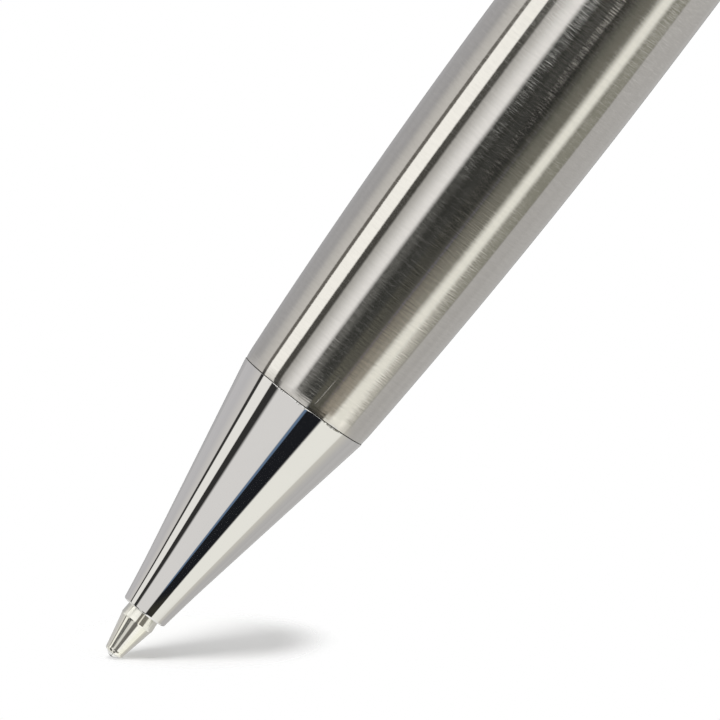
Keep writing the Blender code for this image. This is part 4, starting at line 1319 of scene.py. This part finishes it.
@dataclass
class ClipParts:
    """Polished collar and the sprung clip."""

    collar_front: float = 0.104
    collar_height: float = 0.003
    collar_radius: float = 0.0057
    collar_bore: float = 0.00395
    collar_edge: float = 0.0003
    window_gap: float = 0.00015
    drop: float = 37.5
    thickness: float = 0.0008
    length: float = 0.0375
    root_width: float = 0.0032
    end_width: float = 0.0022
    bend_radius: float = 0.0009
    stand: float = 0.0004
    arch: float = 0.00045
    bump_height: float = 0.0008
    bump_length: float = 0.0036
    bump_gap: float = 0.00015
    flare_length: float = 0.003
    flare_rise: float = 0.0004
    tongue_gap: float = 0.0001
    run_stations: int = 64
    bend_stations: int = 12
    flare_stations: int = 14
    section_steps: int = 7
    crown_base: float = 0.25
    crown_power: float = 0.6
    lower_corner: tuple[tuple[float, float], ...] = ((1.0, 0.7), (0.93, 0.93), (0.78, 1.0))
    under_half: float = 0.6
    under_steps: int = 6
    bump_inset: float = 0.15
    end_narrow: float = 0.35
    end_thin: float = 0.45
    cut_margin: float = 0.001
    sharp: float = 50.0
    edge_steps: int = 6

    @property
    def middle(self) -> float:
        """Station of the collar's middle."""
        return self.collar_front + self.collar_height / 2.0

    @property
    def ways(self) -> tuple[Vector, Vector, Vector]:
        """Directions out from the axis, across the clip and along the pen."""
        turn = math.radians(180.0 + self.drop)
        outward = Vector((0.0, math.cos(turn), math.sin(turn)))
        across = Vector((0.0, -math.sin(turn), math.cos(turn)))
        return outward, across, Vector((1.0, 0.0, 0.0))

    def build(self, wardrobe: Wardrobe, barrel: Barrel) -> None:
        """Build the collar and the clip."""
        wardrobe.dress(self.build_collar(), Slot.POLISHED_STEEL, Body.BARREL, "clip_collar")
        wardrobe.dress(self.build_arm(barrel), Slot.POLISHED_STEEL, Body.CLIP, "clip_arm")

    def build_collar(self) -> Piece:
        """Turn the ring and cut its window."""
        front, rear = self.collar_front, self.collar_front + self.collar_height
        outer, bore = self.collar_radius, self.collar_bore
        section = ring(outer, bore, front, rear, self.collar_edge, self.edge_steps)
        collar = turned("collar_ring", section)
        outward, across, along = self.ways
        across *= self.root_width / 2.0 + self.window_gap
        along *= self.thickness / 2.0 + self.window_gap
        centre = AXIS.point(0.0, 0.0, self.middle)
        reaches = (bore - self.cut_margin, outer + self.cut_margin)
        sections = [
            [centre + outward * reach + across * side + along * end for side, end in SQUARE]
            for reach in reaches
        ]
        cutter = lofted("window_cutter", sections)
        cut = collar.modifiers.new("window", "BOOLEAN")
        cut.operation = "DIFFERENCE"
        cut.object = cutter
        collar = baked(collar)
        bpy.data.objects.remove(cutter)
        return collar

    def centreline(self, barrel: Barrel) -> list[tuple[float, float, float | None]]:
        """Radius and forward reach of the clip's middle, with the distance from the contact bump."""
        top = self.collar_radius + self.stand + self.thickness / 2.0
        tongue = self.collar_bore + self.tongue_gap
        bump_reach = self.length - self.flare_length
        bump_barrel = barrel.radius(self.middle - bump_reach - barrel.front)
        bump = bump_barrel + self.bump_gap + self.bump_height + self.thickness / 2.0
        bend = self.bend_radius
        points: list[tuple[float, float, float | None]] = [(tongue, 0.0, None), (top - bend, 0.0, None)]
        for share in even(self.bend_stations)[1:]:
            angle = math.pi / 2.0 * share
            points.append((top - bend + bend * math.sin(angle), bend - bend * math.cos(angle), None))
        run = bump_reach - bend
        for share in even(self.run_stations)[1:]:
            radius = top + (bump - top) * share + 4.0 * self.arch * share * (1.0 - share)
            forward = bend + run * share
            points.append((radius, forward, bump_reach - forward))
        slope = (bump - top - 4.0 * self.arch) / run
        for share in even(self.flare_stations)[1:]:
            step = self.flare_length * share
            rise = slope * step * (1.0 - share) + self.flare_rise * share * share
            points.append((bump + rise, bump_reach + step, step))
        return points

    def section(self) -> list[tuple[float, float, float]]:
        """Half-width and half-thickness shares round the section, with the bump's share."""
        rise = 1.0 - self.crown_base
        top = [
            (math.cos(turn), self.crown_base + rise * math.sin(turn) ** self.crown_power, 0.0)
            for turn in steps(0.0, math.pi, 2 * self.section_steps)[:-1]
        ]
        top.append((-1.0, self.crown_base, 0.0))
        lower = [(-side, -down, 0.0) for side, down in self.lower_corner]
        half, inset = self.under_half, self.bump_inset
        sides = steps(-half, half, self.under_steps)
        shares = steps(inset, 1.0 - inset, self.under_steps)
        under = [(side, -1.0, math.sin(math.pi * share) ** 2) for side, share in zip(sides, shares)]
        return top + lower + under + [(-side, down, bump) for side, down, bump in reversed(lower)]

    def build_arm(self, barrel: Barrel) -> Piece:
        """Loft the tongue, the bend, the arm and its contact bump."""
        outward, across, along = self.ways
        origin = AXIS.point(0.0, 0.0, self.middle)
        points = self.centreline(barrel)
        shares = self.section()
        sections = []
        for index, (radius, forward, distance) in enumerate(points):
            before = points[max(index - 1, 0)]
            after = points[min(index + 1, len(points) - 1)]
            heading = Vector((after[0] - before[0], after[1] - before[1])).normalized()
            face = outward * heading[1] + along * heading[0]
            reach = forward / self.length
            half_width = (self.root_width + (self.end_width - self.root_width) * reach) / 2.0
            half_thickness = self.thickness / 2.0
            left = (self.length - forward) / (self.end_width / 2.0)
            if left < 1.0:
                round_off = math.sqrt(max(0.0, 1.0 - (1.0 - left) ** 2))
                half_width *= self.end_narrow + (1.0 - self.end_narrow) * round_off
                half_thickness *= self.end_thin + (1.0 - self.end_thin) * round_off
            swell = 0.0
            if distance is not None and abs(distance) < self.bump_length / 2.0:
                swell = self.bump_height * math.cos(math.pi * distance / self.bump_length) ** 2
            centre = origin + outward * radius - along * forward
            section = [
                centre + across * (half_width * side) + face * (half_thickness * through - swell * bump)
                for side, through, bump in shares
            ]
            sections.append(section)
        return lofted("clip_strip", sections, sharp=self.sharp)


@dataclass
class Rear:
    """Turning knob with its fluted grip, and the end cap."""

    front: float = 0.1072
    length: float = 0.0242
    front_radius: float = 0.0054
    rear_radius: float = 0.0049
    edge: float = 0.0002
    rear_round: float = 0.0006
    recess_radius: float = 0.0046
    recess_end: float = 0.1094
    bore_radius: float = 0.0043
    bore_end: float = 0.124
    cap_bore: float = 0.0034
    flutes: float = 24.0
    flute_depth: float = 0.0002
    flute_narrowness: float = 3.0
    band_start: float = 0.004
    band_length: float = 0.013
    run_out: float = 0.0006
    band_stations: int = 60
    grip_sides: int = 384
    cap_radius: float = 0.0046
    cap_thickness: float = 0.002
    cap_round: float = 0.0012
    spigot_radius: float = 0.0033
    spigot_length: float = 0.004
    seat_gap: float = 0.0001
    cap_sharp: float = 40.0
    round_steps: int = 8
    cap_steps: int = 14

    def radius(self, height: float) -> float:
        """Outer radius at a height behind the front face."""
        return self.front_radius + (self.rear_radius - self.front_radius) * height / self.length

    def build(self, wardrobe: Wardrobe, flutes: FluteTree) -> None:
        """Build the knob and its cap."""
        rear = self.front + self.length
        band_end = self.band_start + self.band_length
        rounding = self.rear_round
        round_start = self.length - rounding
        corner = self.radius(round_start) - rounding
        heights = [self.edge, *steps(self.band_start, band_end, self.band_stations), round_start - self.edge]
        outer = [(self.radius(height), self.front + height) for height in heights]
        start = [(self.radius(0.0) - self.edge, self.front)]
        rear_edge = arc((corner, rear - rounding), rounding, 0.0, 90.0, self.round_steps)
        bore = [
            (self.cap_bore, rear),
            (self.cap_bore, self.bore_end),
            (self.bore_radius, self.bore_end),
            (self.bore_radius, self.recess_end),
            (self.recess_radius, self.recess_end),
            (self.recess_radius, self.front),
        ]
        blank = turned("knob_blank", start + outer + rear_edge + bore, self.grip_sides)
        knob = flutes.run(
            "knob_shell",
            source=blank,
            Flutes=self.flutes,
            Depth=self.flute_depth,
            Narrowness=self.flute_narrowness,
            Band_Start=AXIS.tip + self.front + self.band_start,
            Band_End=AXIS.tip + self.front + band_end,
            Run_Out=self.run_out,
            Inner_Radius=self.recess_radius + self.edge,
            Axis_Y=AXIS.across,
            Axis_Z=AXIS.height,
            Material=wardrobe.of(Slot.BRUSHED_STEEL),
        )
        knob.data.set_sharp_from_angle(angle=math.radians(SHARP))
        wardrobe.dress(knob, Slot.BRUSHED_STEEL, Body.KNOB, "twist_knob")
        wardrobe.dress(self.build_cap(rear), Slot.POLISHED_STEEL, Body.KNOB, "end_cap")

    def build_cap(self, rear: float) -> Piece:
        """Turn the end cap: rounded rim, flat face and spigot."""
        front = rear + self.seat_gap
        back = front + self.cap_thickness
        rounding = self.cap_round
        edge = self.seat_gap
        spigot = [
            (0.0, rear - self.spigot_length),
            (self.spigot_radius - edge, rear - self.spigot_length),
            (self.spigot_radius, rear - self.spigot_length + edge),
            (self.spigot_radius, front),
            (self.cap_radius - edge, front),
            (self.cap_radius, front + edge),
        ]
        centre = (self.cap_radius - rounding, back - rounding)
        rim = arc(centre, rounding, 0.0, 90.0, self.cap_steps)
        return turned("cap_shell", spigot + rim + [(0.0, back)], sharp=self.cap_sharp)


INNER_NODES: dict[str, Slot] = {
    "liner_tube": Slot.BRASS,
    "rear_bush": Slot.BRASS,
    "guide_sleeve": Slot.BRASS,
    "friction_ring": Slot.BLACK_RUBBER,
    "thrust_washer": Slot.WHITE_PLASTIC,
    "retaining_ring": Slot.SPRING_STEEL,
    "cam_sleeve": Slot.TURNED_STEEL,
    "follower": Slot.WHITE_PLASTIC,
    "follower_pin": Slot.TURNED_STEEL,
    "ink_column": Slot.BLUE_INK,
}


# Studio


@dataclass(frozen=True)
class Span:
    """A stretch of directions in degrees, with the half width of its soft ends."""

    start: float
    end: float
    start_edge: float = 1.0
    end_edge: float = 1.0


ALL_TURNS = Span(-185.0, 185.0)
ALL_LEANS = Span(-95.0, 95.0)
CONE_LEANS = Span(16.0, 70.0, 3.0, 8.0)
FLAG_LEANS = Span(19.3, 70.0, 0.6, 8.0)
POINT_TUBE_LEANS = Span(-10.0, -0.4, 1.5, 0.6)
POINT_CONE_LEANS = Span(26.3, 70.0, 0.8, 6.0)
TUBE_LEANS = Span(-95.0, 17.0, 1.0, 2.5)
DARK_LEANS = Span(-95.0, 15.7, 1.0, 1.1)
REAR_LEANS = Span(-95.0, -75.0, 1.0, 3.5)
FRONT_LEANS = Span(72.0, 95.0, 4.0, 1.0)


@dataclass(frozen=True)
class Card:
    """A card or soft box that the metal mirrors, placed by its directions from the pen.

    Turns run round the pen's axis from the camera, positive over the pen. Leans run from square to
    the axis towards the writing end, so the nose's cone mirrors other leans than the barrel.
    """

    name: str
    colour: Colour
    turn: Span
    lean: Span = ALL_LEANS

    def lay(self, nodes: ShaderTree, behind: object, turn: Socket, lean: Socket) -> Socket:
        """Lay the card over what is behind it.

        Args:
            nodes: The world's tree.
            behind: Colour behind the card.
            turn: Socket with the turn of the mirrored direction.
            lean: Socket with its lean.

        Returns:
            The colour with the card in it.
        """
        placed = nodes.group(EFFECTS.card, Behind=behind, Card=opaque(self.colour), Turn=turn, Lean=lean)
        placed.label = self.name
        for way, span in (("Turn", self.turn), ("Lean", self.lean)):
            ends = (("From", span.start, span.start_edge), ("To", span.end, span.end_edge))
            for end, limit, edge in ends:
                placed.inputs[f"{way} {end}"].default_value = limit
                placed.inputs[f"{way} {end} Edge"].default_value = edge
        return placed.outputs["Colour"]


CARDS = (
    Card("upper_wall", (0.555, 0.545, 0.55), Span(88.0, 178.0, 1.0, 3.0), Span(9.5, 95.0, 2.5, 1.0)),
    Card("upper_shade", (0.43, 0.425, 0.435), Span(112.0, 170.0, 10.0, 10.0), Span(-60.0, 8.5, 5.0, 2.5)),
    Card("upper_glow", (0.665, 0.645, 0.62), Span(50.0, 106.0, 5.0, 13.0)),
    Card("lower_glow", (0.64, 0.62, 0.56), Span(-106.0, -50.0, 13.0, 5.0), Span(12.0, 95.0, 3.0, 1.0)),
    Card("front_grey", (0.785, 0.77, 0.75), Span(-9.5, 50.0, 2.5, 4.0)),
    Card("floor_glow", (0.95, 0.94, 0.87), Span(-92.5, -43.8, 2.5, 2.5)),
    Card("cone_flag", (0.012, 0.013, 0.016), Span(-43.8, -10.5, 2.5, 2.5), FLAG_LEANS),
    Card("cone_flag_low", (0.038, 0.036, 0.028), Span(-43.8, -10.5, 2.5, 2.5), Span(10.0, 22.0, 1.0, 0.9)),
    Card("blue_glint", (0.13, 0.20, 0.31), Span(-14.0, -9.5, 1.0, 1.2), Span(23.3, 60.0, 0.6, 5.0)),
    Card("tube_front_low", (0.47, 0.46, 0.44), Span(10.0, 56.0, 3.0, 3.0), TUBE_LEANS),
    Card("tube_front_glow", (0.98, 0.965, 0.955), Span(12.0, 40.0, 3.0, 13.0), TUBE_LEANS),
    Card("cone_gap_low", (0.035, 0.034, 0.033), Span(47.0, 62.7, 3.5, 1.2), CONE_LEANS),
    Card("tube_gap_low", (0.065, 0.062, 0.054), Span(51.7, 62.4, 2.2, 1.5), TUBE_LEANS),
    Card("cone_strip_box", (0.93, 0.915, 0.87), Span(62.7, 84.0, 1.2, 1.2), Span(13.0, 95.0, 2.0, 1.0)),
    Card("tube_strip_box", (1.20, 1.185, 1.14), Span(62.6, 83.6, 1.5, 1.4), Span(-95.0, 13.0, 1.0, 2.0)),
    Card("gap_high", (0.15, 0.14, 0.125), Span(83.8, 90.0, 1.0, 1.2)),
    Card("cone_gap_high", (0.035, 0.034, 0.033), Span(84.0, 90.4, 1.0, 1.2), Span(13.5, 95.0, 1.5, 1.0)),
    Card("tube_table", (0.165, 0.16, 0.13), Span(-93.5, -5.0, 2.5, 3.0), Span(-95.0, 12.5, 1.0, 7.5)),
    Card("tube_table_warm", (0.40, 0.355, 0.29), Span(-54.0, -22.0, 5.0, 6.0), Span(9.6, 15.0, 1.4, 3.0)),
    Card("tube_table_far", (0.09, 0.09, 0.07), Span(-40.0, -10.0, 8.0, 6.0), Span(-95.0, 6.6, 1.0, 1.3)),
    Card("tube_glow_under", (0.78, 0.76, 0.70), Span(-92.5, -70.0, 3.0, 6.0), Span(8.1, 16.0, 2.4, 3.0)),
    Card("tube_shade_under", (0.27, 0.265, 0.22), Span(-93.5, -76.0, 2.5, 6.0), Span(-95.0, 7.6, 1.0, 1.8)),
    Card("tube_wide_strip", (1.22, 1.195, 1.11), Span(-81.0, -54.0, 8.0, 6.0), Span(8.8, 16.0, 2.8, 3.0)),
    Card("tube_floor_strip", (1.0, 0.99, 0.91), Span(-72.5, -57.0, 5.0, 6.0), Span(-95.0, 14.0, 1.0, 3.0)),
    Card("tube_dark", (0.025, 0.026, 0.022), Span(-30.0, 21.2, 9.0, 4.5), DARK_LEANS),
    Card("tube_dark_rim", (0.11, 0.108, 0.10), Span(8.0, 19.0, 6.0, 2.0), Span(7.2, 15.7, 1.2, 1.1)),
    Card("tube_dark_far", (0.008, 0.008, 0.006), Span(-24.0, -11.0, 5.0, 3.0), Span(-95.0, 6.6, 1.0, 1.3)),
    Card("tube_dark_corner", (0.68, 0.67, 0.66), Span(14.5, 26.0, 4.5, 2.0), Span(13.6, 18.0, 1.2, 2.0)),
    Card("tube_warm_edge", (0.125, 0.12, 0.095), Span(-27.0, -10.0, 5.0, 4.0), Span(9.2, 15.5, 1.2, 1.5)),
    Card("point_tube_wall", (0.86, 0.855, 0.835), ALL_TURNS, POINT_TUBE_LEANS),
    Card("point_tube_top", (0.99, 0.98, 0.96), Span(75.0, 88.0, 4.0, 3.0), POINT_TUBE_LEANS),
    Card("point_tube_front", (0.98, 0.975, 0.96), Span(5.5, 51.0, 3.5, 4.0), POINT_TUBE_LEANS),
    Card("point_tube_low", (0.90, 0.89, 0.85), Span(-90.0, -50.0, 9.0, 5.0), POINT_TUBE_LEANS),
    Card("point_tube_dark", (0.15, 0.14, 0.12), Span(-51.0, 6.0, 4.5, 4.0), POINT_TUBE_LEANS),
    Card("point_tube_line", (0.84, 0.81, 0.75), Span(-20.0, -11.0, 1.5, 1.5), POINT_TUBE_LEANS),
    Card("point_cone_wall", (0.87, 0.865, 0.84), ALL_TURNS, POINT_CONE_LEANS),
    Card("point_cone_top", (0.72, 0.71, 0.68), Span(61.0, 96.0, 3.0, 3.0), POINT_CONE_LEANS),
    Card("point_cone_glint", (0.46, 0.45, 0.41), Span(99.0, 107.0, 1.5, 1.5), POINT_CONE_LEANS),
    Card("point_cone_edge", (0.02, 0.019, 0.015), Span(34.5, 68.0, 2.0, 2.0), POINT_CONE_LEANS),
    Card("point_cone_front", (0.64, 0.625, 0.605), Span(19.0, 34.0, 5.0, 2.5), POINT_CONE_LEANS),
    Card("point_cone_dark", (0.115, 0.107, 0.10), Span(-21.0, 12.0, 5.0, 8.0), POINT_CONE_LEANS),
    Card("point_cone_low", (1.05, 1.04, 1.02), Span(-76.0, -26.0, 10.0, 6.0), POINT_CONE_LEANS),
    Card("rear_wall", (1.10, 1.09, 1.06), ALL_TURNS, Span(-95.0, -52.0, 1.0, 6.0)),
    Card("rear_shade", (0.07, 0.07, 0.066), Span(-38.0, 18.0, 6.0, 6.0), REAR_LEANS),
    Card("rear_shade_high", (0.26, 0.257, 0.25), Span(112.0, 165.0, 12.0, 10.0), REAR_LEANS),
    Card("rear_shade_low", (0.46, 0.455, 0.44), Span(-140.0, -62.0, 12.0, 12.0), REAR_LEANS),
    Card("front_wall", (1.05, 1.04, 1.0), ALL_TURNS, Span(66.0, 95.0, 6.0, 1.0)),
    Card("front_shade", (0.07, 0.07, 0.066), Span(-38.0, 18.0, 6.0, 6.0), FRONT_LEANS),
    Card("front_shade_high", (0.26, 0.257, 0.25), Span(112.0, 165.0, 12.0, 10.0), FRONT_LEANS),
    Card("rear_dark_high", (0.05, 0.05, 0.047), Span(171.0, 190.0, 3.0, 1.0), Span(-60.0, 60.0, 8.0, 8.0)),
    Card("rear_dark_low", (0.05, 0.05, 0.047), Span(-190.0, -171.0, 1.0, 3.0), Span(-60.0, 60.0, 8.0, 8.0)),
    Card("violet_glint", (0.17, 0.15, 0.27), Span(-31.5, -28.5, 1.0, 1.0), Span(7.5, 8.9, 0.6, 0.6)),
)


@dataclass
class Studio:
    """Camera, floor, key lamp and the surroundings that the metal mirrors."""

    pen_tilt: float = 52.87
    axis_lean: float = 3.3
    pixels_per_metre: float = 15430.0
    seam_station: float = 0.02078
    seam_right: float = 303.7
    seam_down: float = 401.1
    distance: float = 1.0
    sensor: float = 36.0
    near_share: float = 0.02
    far_share: float = 10.0
    floor_view: float = 12.0
    floor_size: float = 0.0095
    floor_fade: float = 0.45
    floor_right: float = 0.0052
    floor_away: float = 0.005
    floor_gap: float = 0.00004
    plain_level: float = 0.70
    key_strength: float = 1.22
    key_spread: float = 24.0
    key_forward: float = 14.0
    key_right: float = -2.0
    backdrop: Colour = (0.50, 0.49, 0.48)
    clutter_lean: float = 2.5
    clutter_turn: float = 15.0
    clutter_level: float = 0.04
    clutter_reach: float = 14.0
    clutter_edge: float = 3.0
    floor_colour: Colour = (0.97, 0.97, 0.965)

    def __post_init__(self) -> None:
        """Work out the picture's own directions in the frame."""
        lean = math.radians(self.axis_lean)
        tilt = math.radians(self.pen_tilt)
        pen_way = Vector((math.cos(lean), math.sin(lean), 0.0))
        over = Vector((0.0, 0.0, 1.0))
        self.right = pen_way * math.cos(tilt) - over * math.sin(tilt)
        self.up = pen_way * math.sin(tilt) + over * math.cos(tilt)
        self.back = self.right.cross(self.up)
        view = math.radians(self.floor_view)
        self.floor_up = self.up * math.cos(view) + self.back * math.sin(view)
        self.floor_back = self.back * math.cos(view) - self.up * math.sin(view)

    def build(self) -> None:
        """Set up everything that isn't the pen."""
        bpy.context.scene.view_settings.view_transform = "Standard"
        self.build_camera()
        self.build_floor()
        self.build_key()
        self.build_world()

    def build_camera(self) -> None:
        """Place a long lens so that the seam falls where the photograph has it."""
        camera = bpy.data.cameras.new("camera")
        camera.sensor_width = self.sensor
        camera.lens = self.sensor * self.distance * self.pixels_per_metre / IMAGE_SIDE
        camera.clip_start = self.distance * self.near_share
        camera.clip_end = self.distance * self.far_share
        seam = AXIS.point(0.0, 0.0, self.seam_station)
        right = (IMAGE_SIDE / 2.0 - self.seam_right) / self.pixels_per_metre
        up = (self.seam_down - IMAGE_SIDE / 2.0) / self.pixels_per_metre
        target = seam + self.right * right + self.up * up
        item = object_of("camera", camera)
        turn = Matrix((self.right, self.up, self.back)).transposed().to_4x4()
        item.matrix_world = Matrix.Translation(target + self.back * self.distance) @ turn
        bpy.context.scene.camera = item

    def build_floor(self) -> None:
        """Lay a pale floor under the writing ball, where the pen's shadow falls, that fades at its rim."""
        ball = AXIS.point(0.0, 0.0, Writing.ball_radius)
        foot = ball - self.floor_up * (Writing.ball_radius + self.floor_gap)
        middle = foot + self.right * self.floor_right - self.floor_back * self.floor_away
        shape = bmesh.new()
        reach = self.floor_size
        corners = [
            shape.verts.new(middle + self.right * (side * reach) + self.floor_back * (depth * reach))
            for side, depth in SQUARE
        ]
        face = shape.faces.new(corners)
        face.normal_update()
        if face.normal.dot(self.floor_up) < 0.0:
            face.normal_flip()
        mesh = bpy.data.meshes.new("floor")
        shape.to_mesh(mesh)
        shape.free()
        mesh.materials.append(self.floor_material(middle))
        floor = object_of("floor", mesh)
        floor.visible_glossy = False

    def floor_material(self, middle: Vector) -> bpy.types.Material:
        """Pale matt floor, seen from above only, that fades out towards its rim."""
        material = bpy.data.materials.new("floor")
        nodes = bare_tree(material)
        pale = nodes.node("ShaderNodeBsdfDiffuse", opaque(self.floor_colour))
        clear = nodes.node("ShaderNodeBsdfTransparent")
        away = nodes.node("ShaderNodeVectorMath", nodes.here(), middle, operation="DISTANCE")
        start = self.floor_size * (1.0 - self.floor_fade)
        fade = nodes.ease(away.outputs["Value"], start, self.floor_size)
        back = nodes.node("ShaderNodeNewGeometry").outputs["Backfacing"]
        hidden = nodes.math("MAXIMUM", fade, back)
        blend = nodes.node("ShaderNodeMixShader", hidden, pale.outputs[0], clear.outputs[0])
        nodes.node("ShaderNodeOutputMaterial", blend.outputs[0])
        return material

    def build_key(self) -> None:
        """Hang a broad soft lamp over the floor, a little in front of the pen."""
        lamp = bpy.data.lights.new("key", "SUN")
        lamp.energy = self.key_strength
        lamp.angle = math.radians(self.key_spread)
        item = object_of("key", lamp)
        forward = math.radians(self.key_forward)
        aside = math.radians(self.key_right)
        over = self.floor_up * math.cos(forward) + self.floor_back * math.sin(forward)
        toward = over + self.right * math.sin(aside)
        item.rotation_mode = "QUATERNION"
        item.rotation_quaternion = toward.to_track_quat("Z", "Y")
        item.visible_glossy = False

    def build_world(self) -> None:
        """Light the room evenly, show it white, and let the metal mirror the studio's cards."""
        world = bpy.data.worlds.new("studio")
        bpy.context.scene.world = world
        nodes = bare_tree(world)
        way = nodes.split(nodes.node("ShaderNodeTexCoord").outputs["Generated"])
        degrees = 180.0 / math.pi
        toward_camera = nodes.product(way["Y"], -1.0)
        turn = nodes.product(nodes.math("ARCTAN2", way["Z"], toward_camera), degrees)
        lean = nodes.product(nodes.math("ARCSINE", way["X"]), -degrees)
        room: object = opaque(self.backdrop)
        for card in CARDS:
            room = card.lay(nodes, room, turn, lean)
        across = nodes.product(lean, 1.0 / self.clutter_lean)
        round_pen = nodes.product(turn, 1.0 / self.clutter_turn)
        spot = nodes.join(across, round_pen)
        end = self.clutter_reach + self.clutter_edge
        reach = nodes.ease(lean, self.clutter_reach, end, self.clutter_level, 0.0)
        clutter = nodes.ease(nodes.noise(spot, 1.0, detail=1.0), NOISE_LOW, NOISE_HIGH, 0.0, reach)
        room = nodes.mix(1.0, room, clutter, "ADD")
        rays = nodes.node("ShaderNodeLightPath").outputs
        mirrored = nodes.math("MAXIMUM", rays["Is Glossy Ray"], rays["Is Transmission Ray"])
        plain = nodes.mix(rays["Is Camera Ray"], opaque(WHITE, self.plain_level), opaque(WHITE))
        background = nodes.node("ShaderNodeBackground", nodes.mix(mirrored, plain, room))
        nodes.node("ShaderNodeOutputWorld", background.outputs[0])


def main() -> None:
    """Build the pen's looks and the studio round it."""
    logging.basicConfig(level=logging.INFO, format="%(name)s %(message)s")
    wardrobe = Wardrobe()
    coils = CoilTree()
    flutes = FluteTree()
    Studio().build()
    barrel = Barrel()
    Nose().build(wardrobe, coils)
    barrel.build(wardrobe)
    Writing().build(wardrobe, coils)
    ClipParts().build(wardrobe, barrel)
    Rear().build(wardrobe, flutes)
    for name, slot in INNER_NODES.items():
        wardrobe.dress_node(name, slot)


if __name__ == "__main__":
    main()
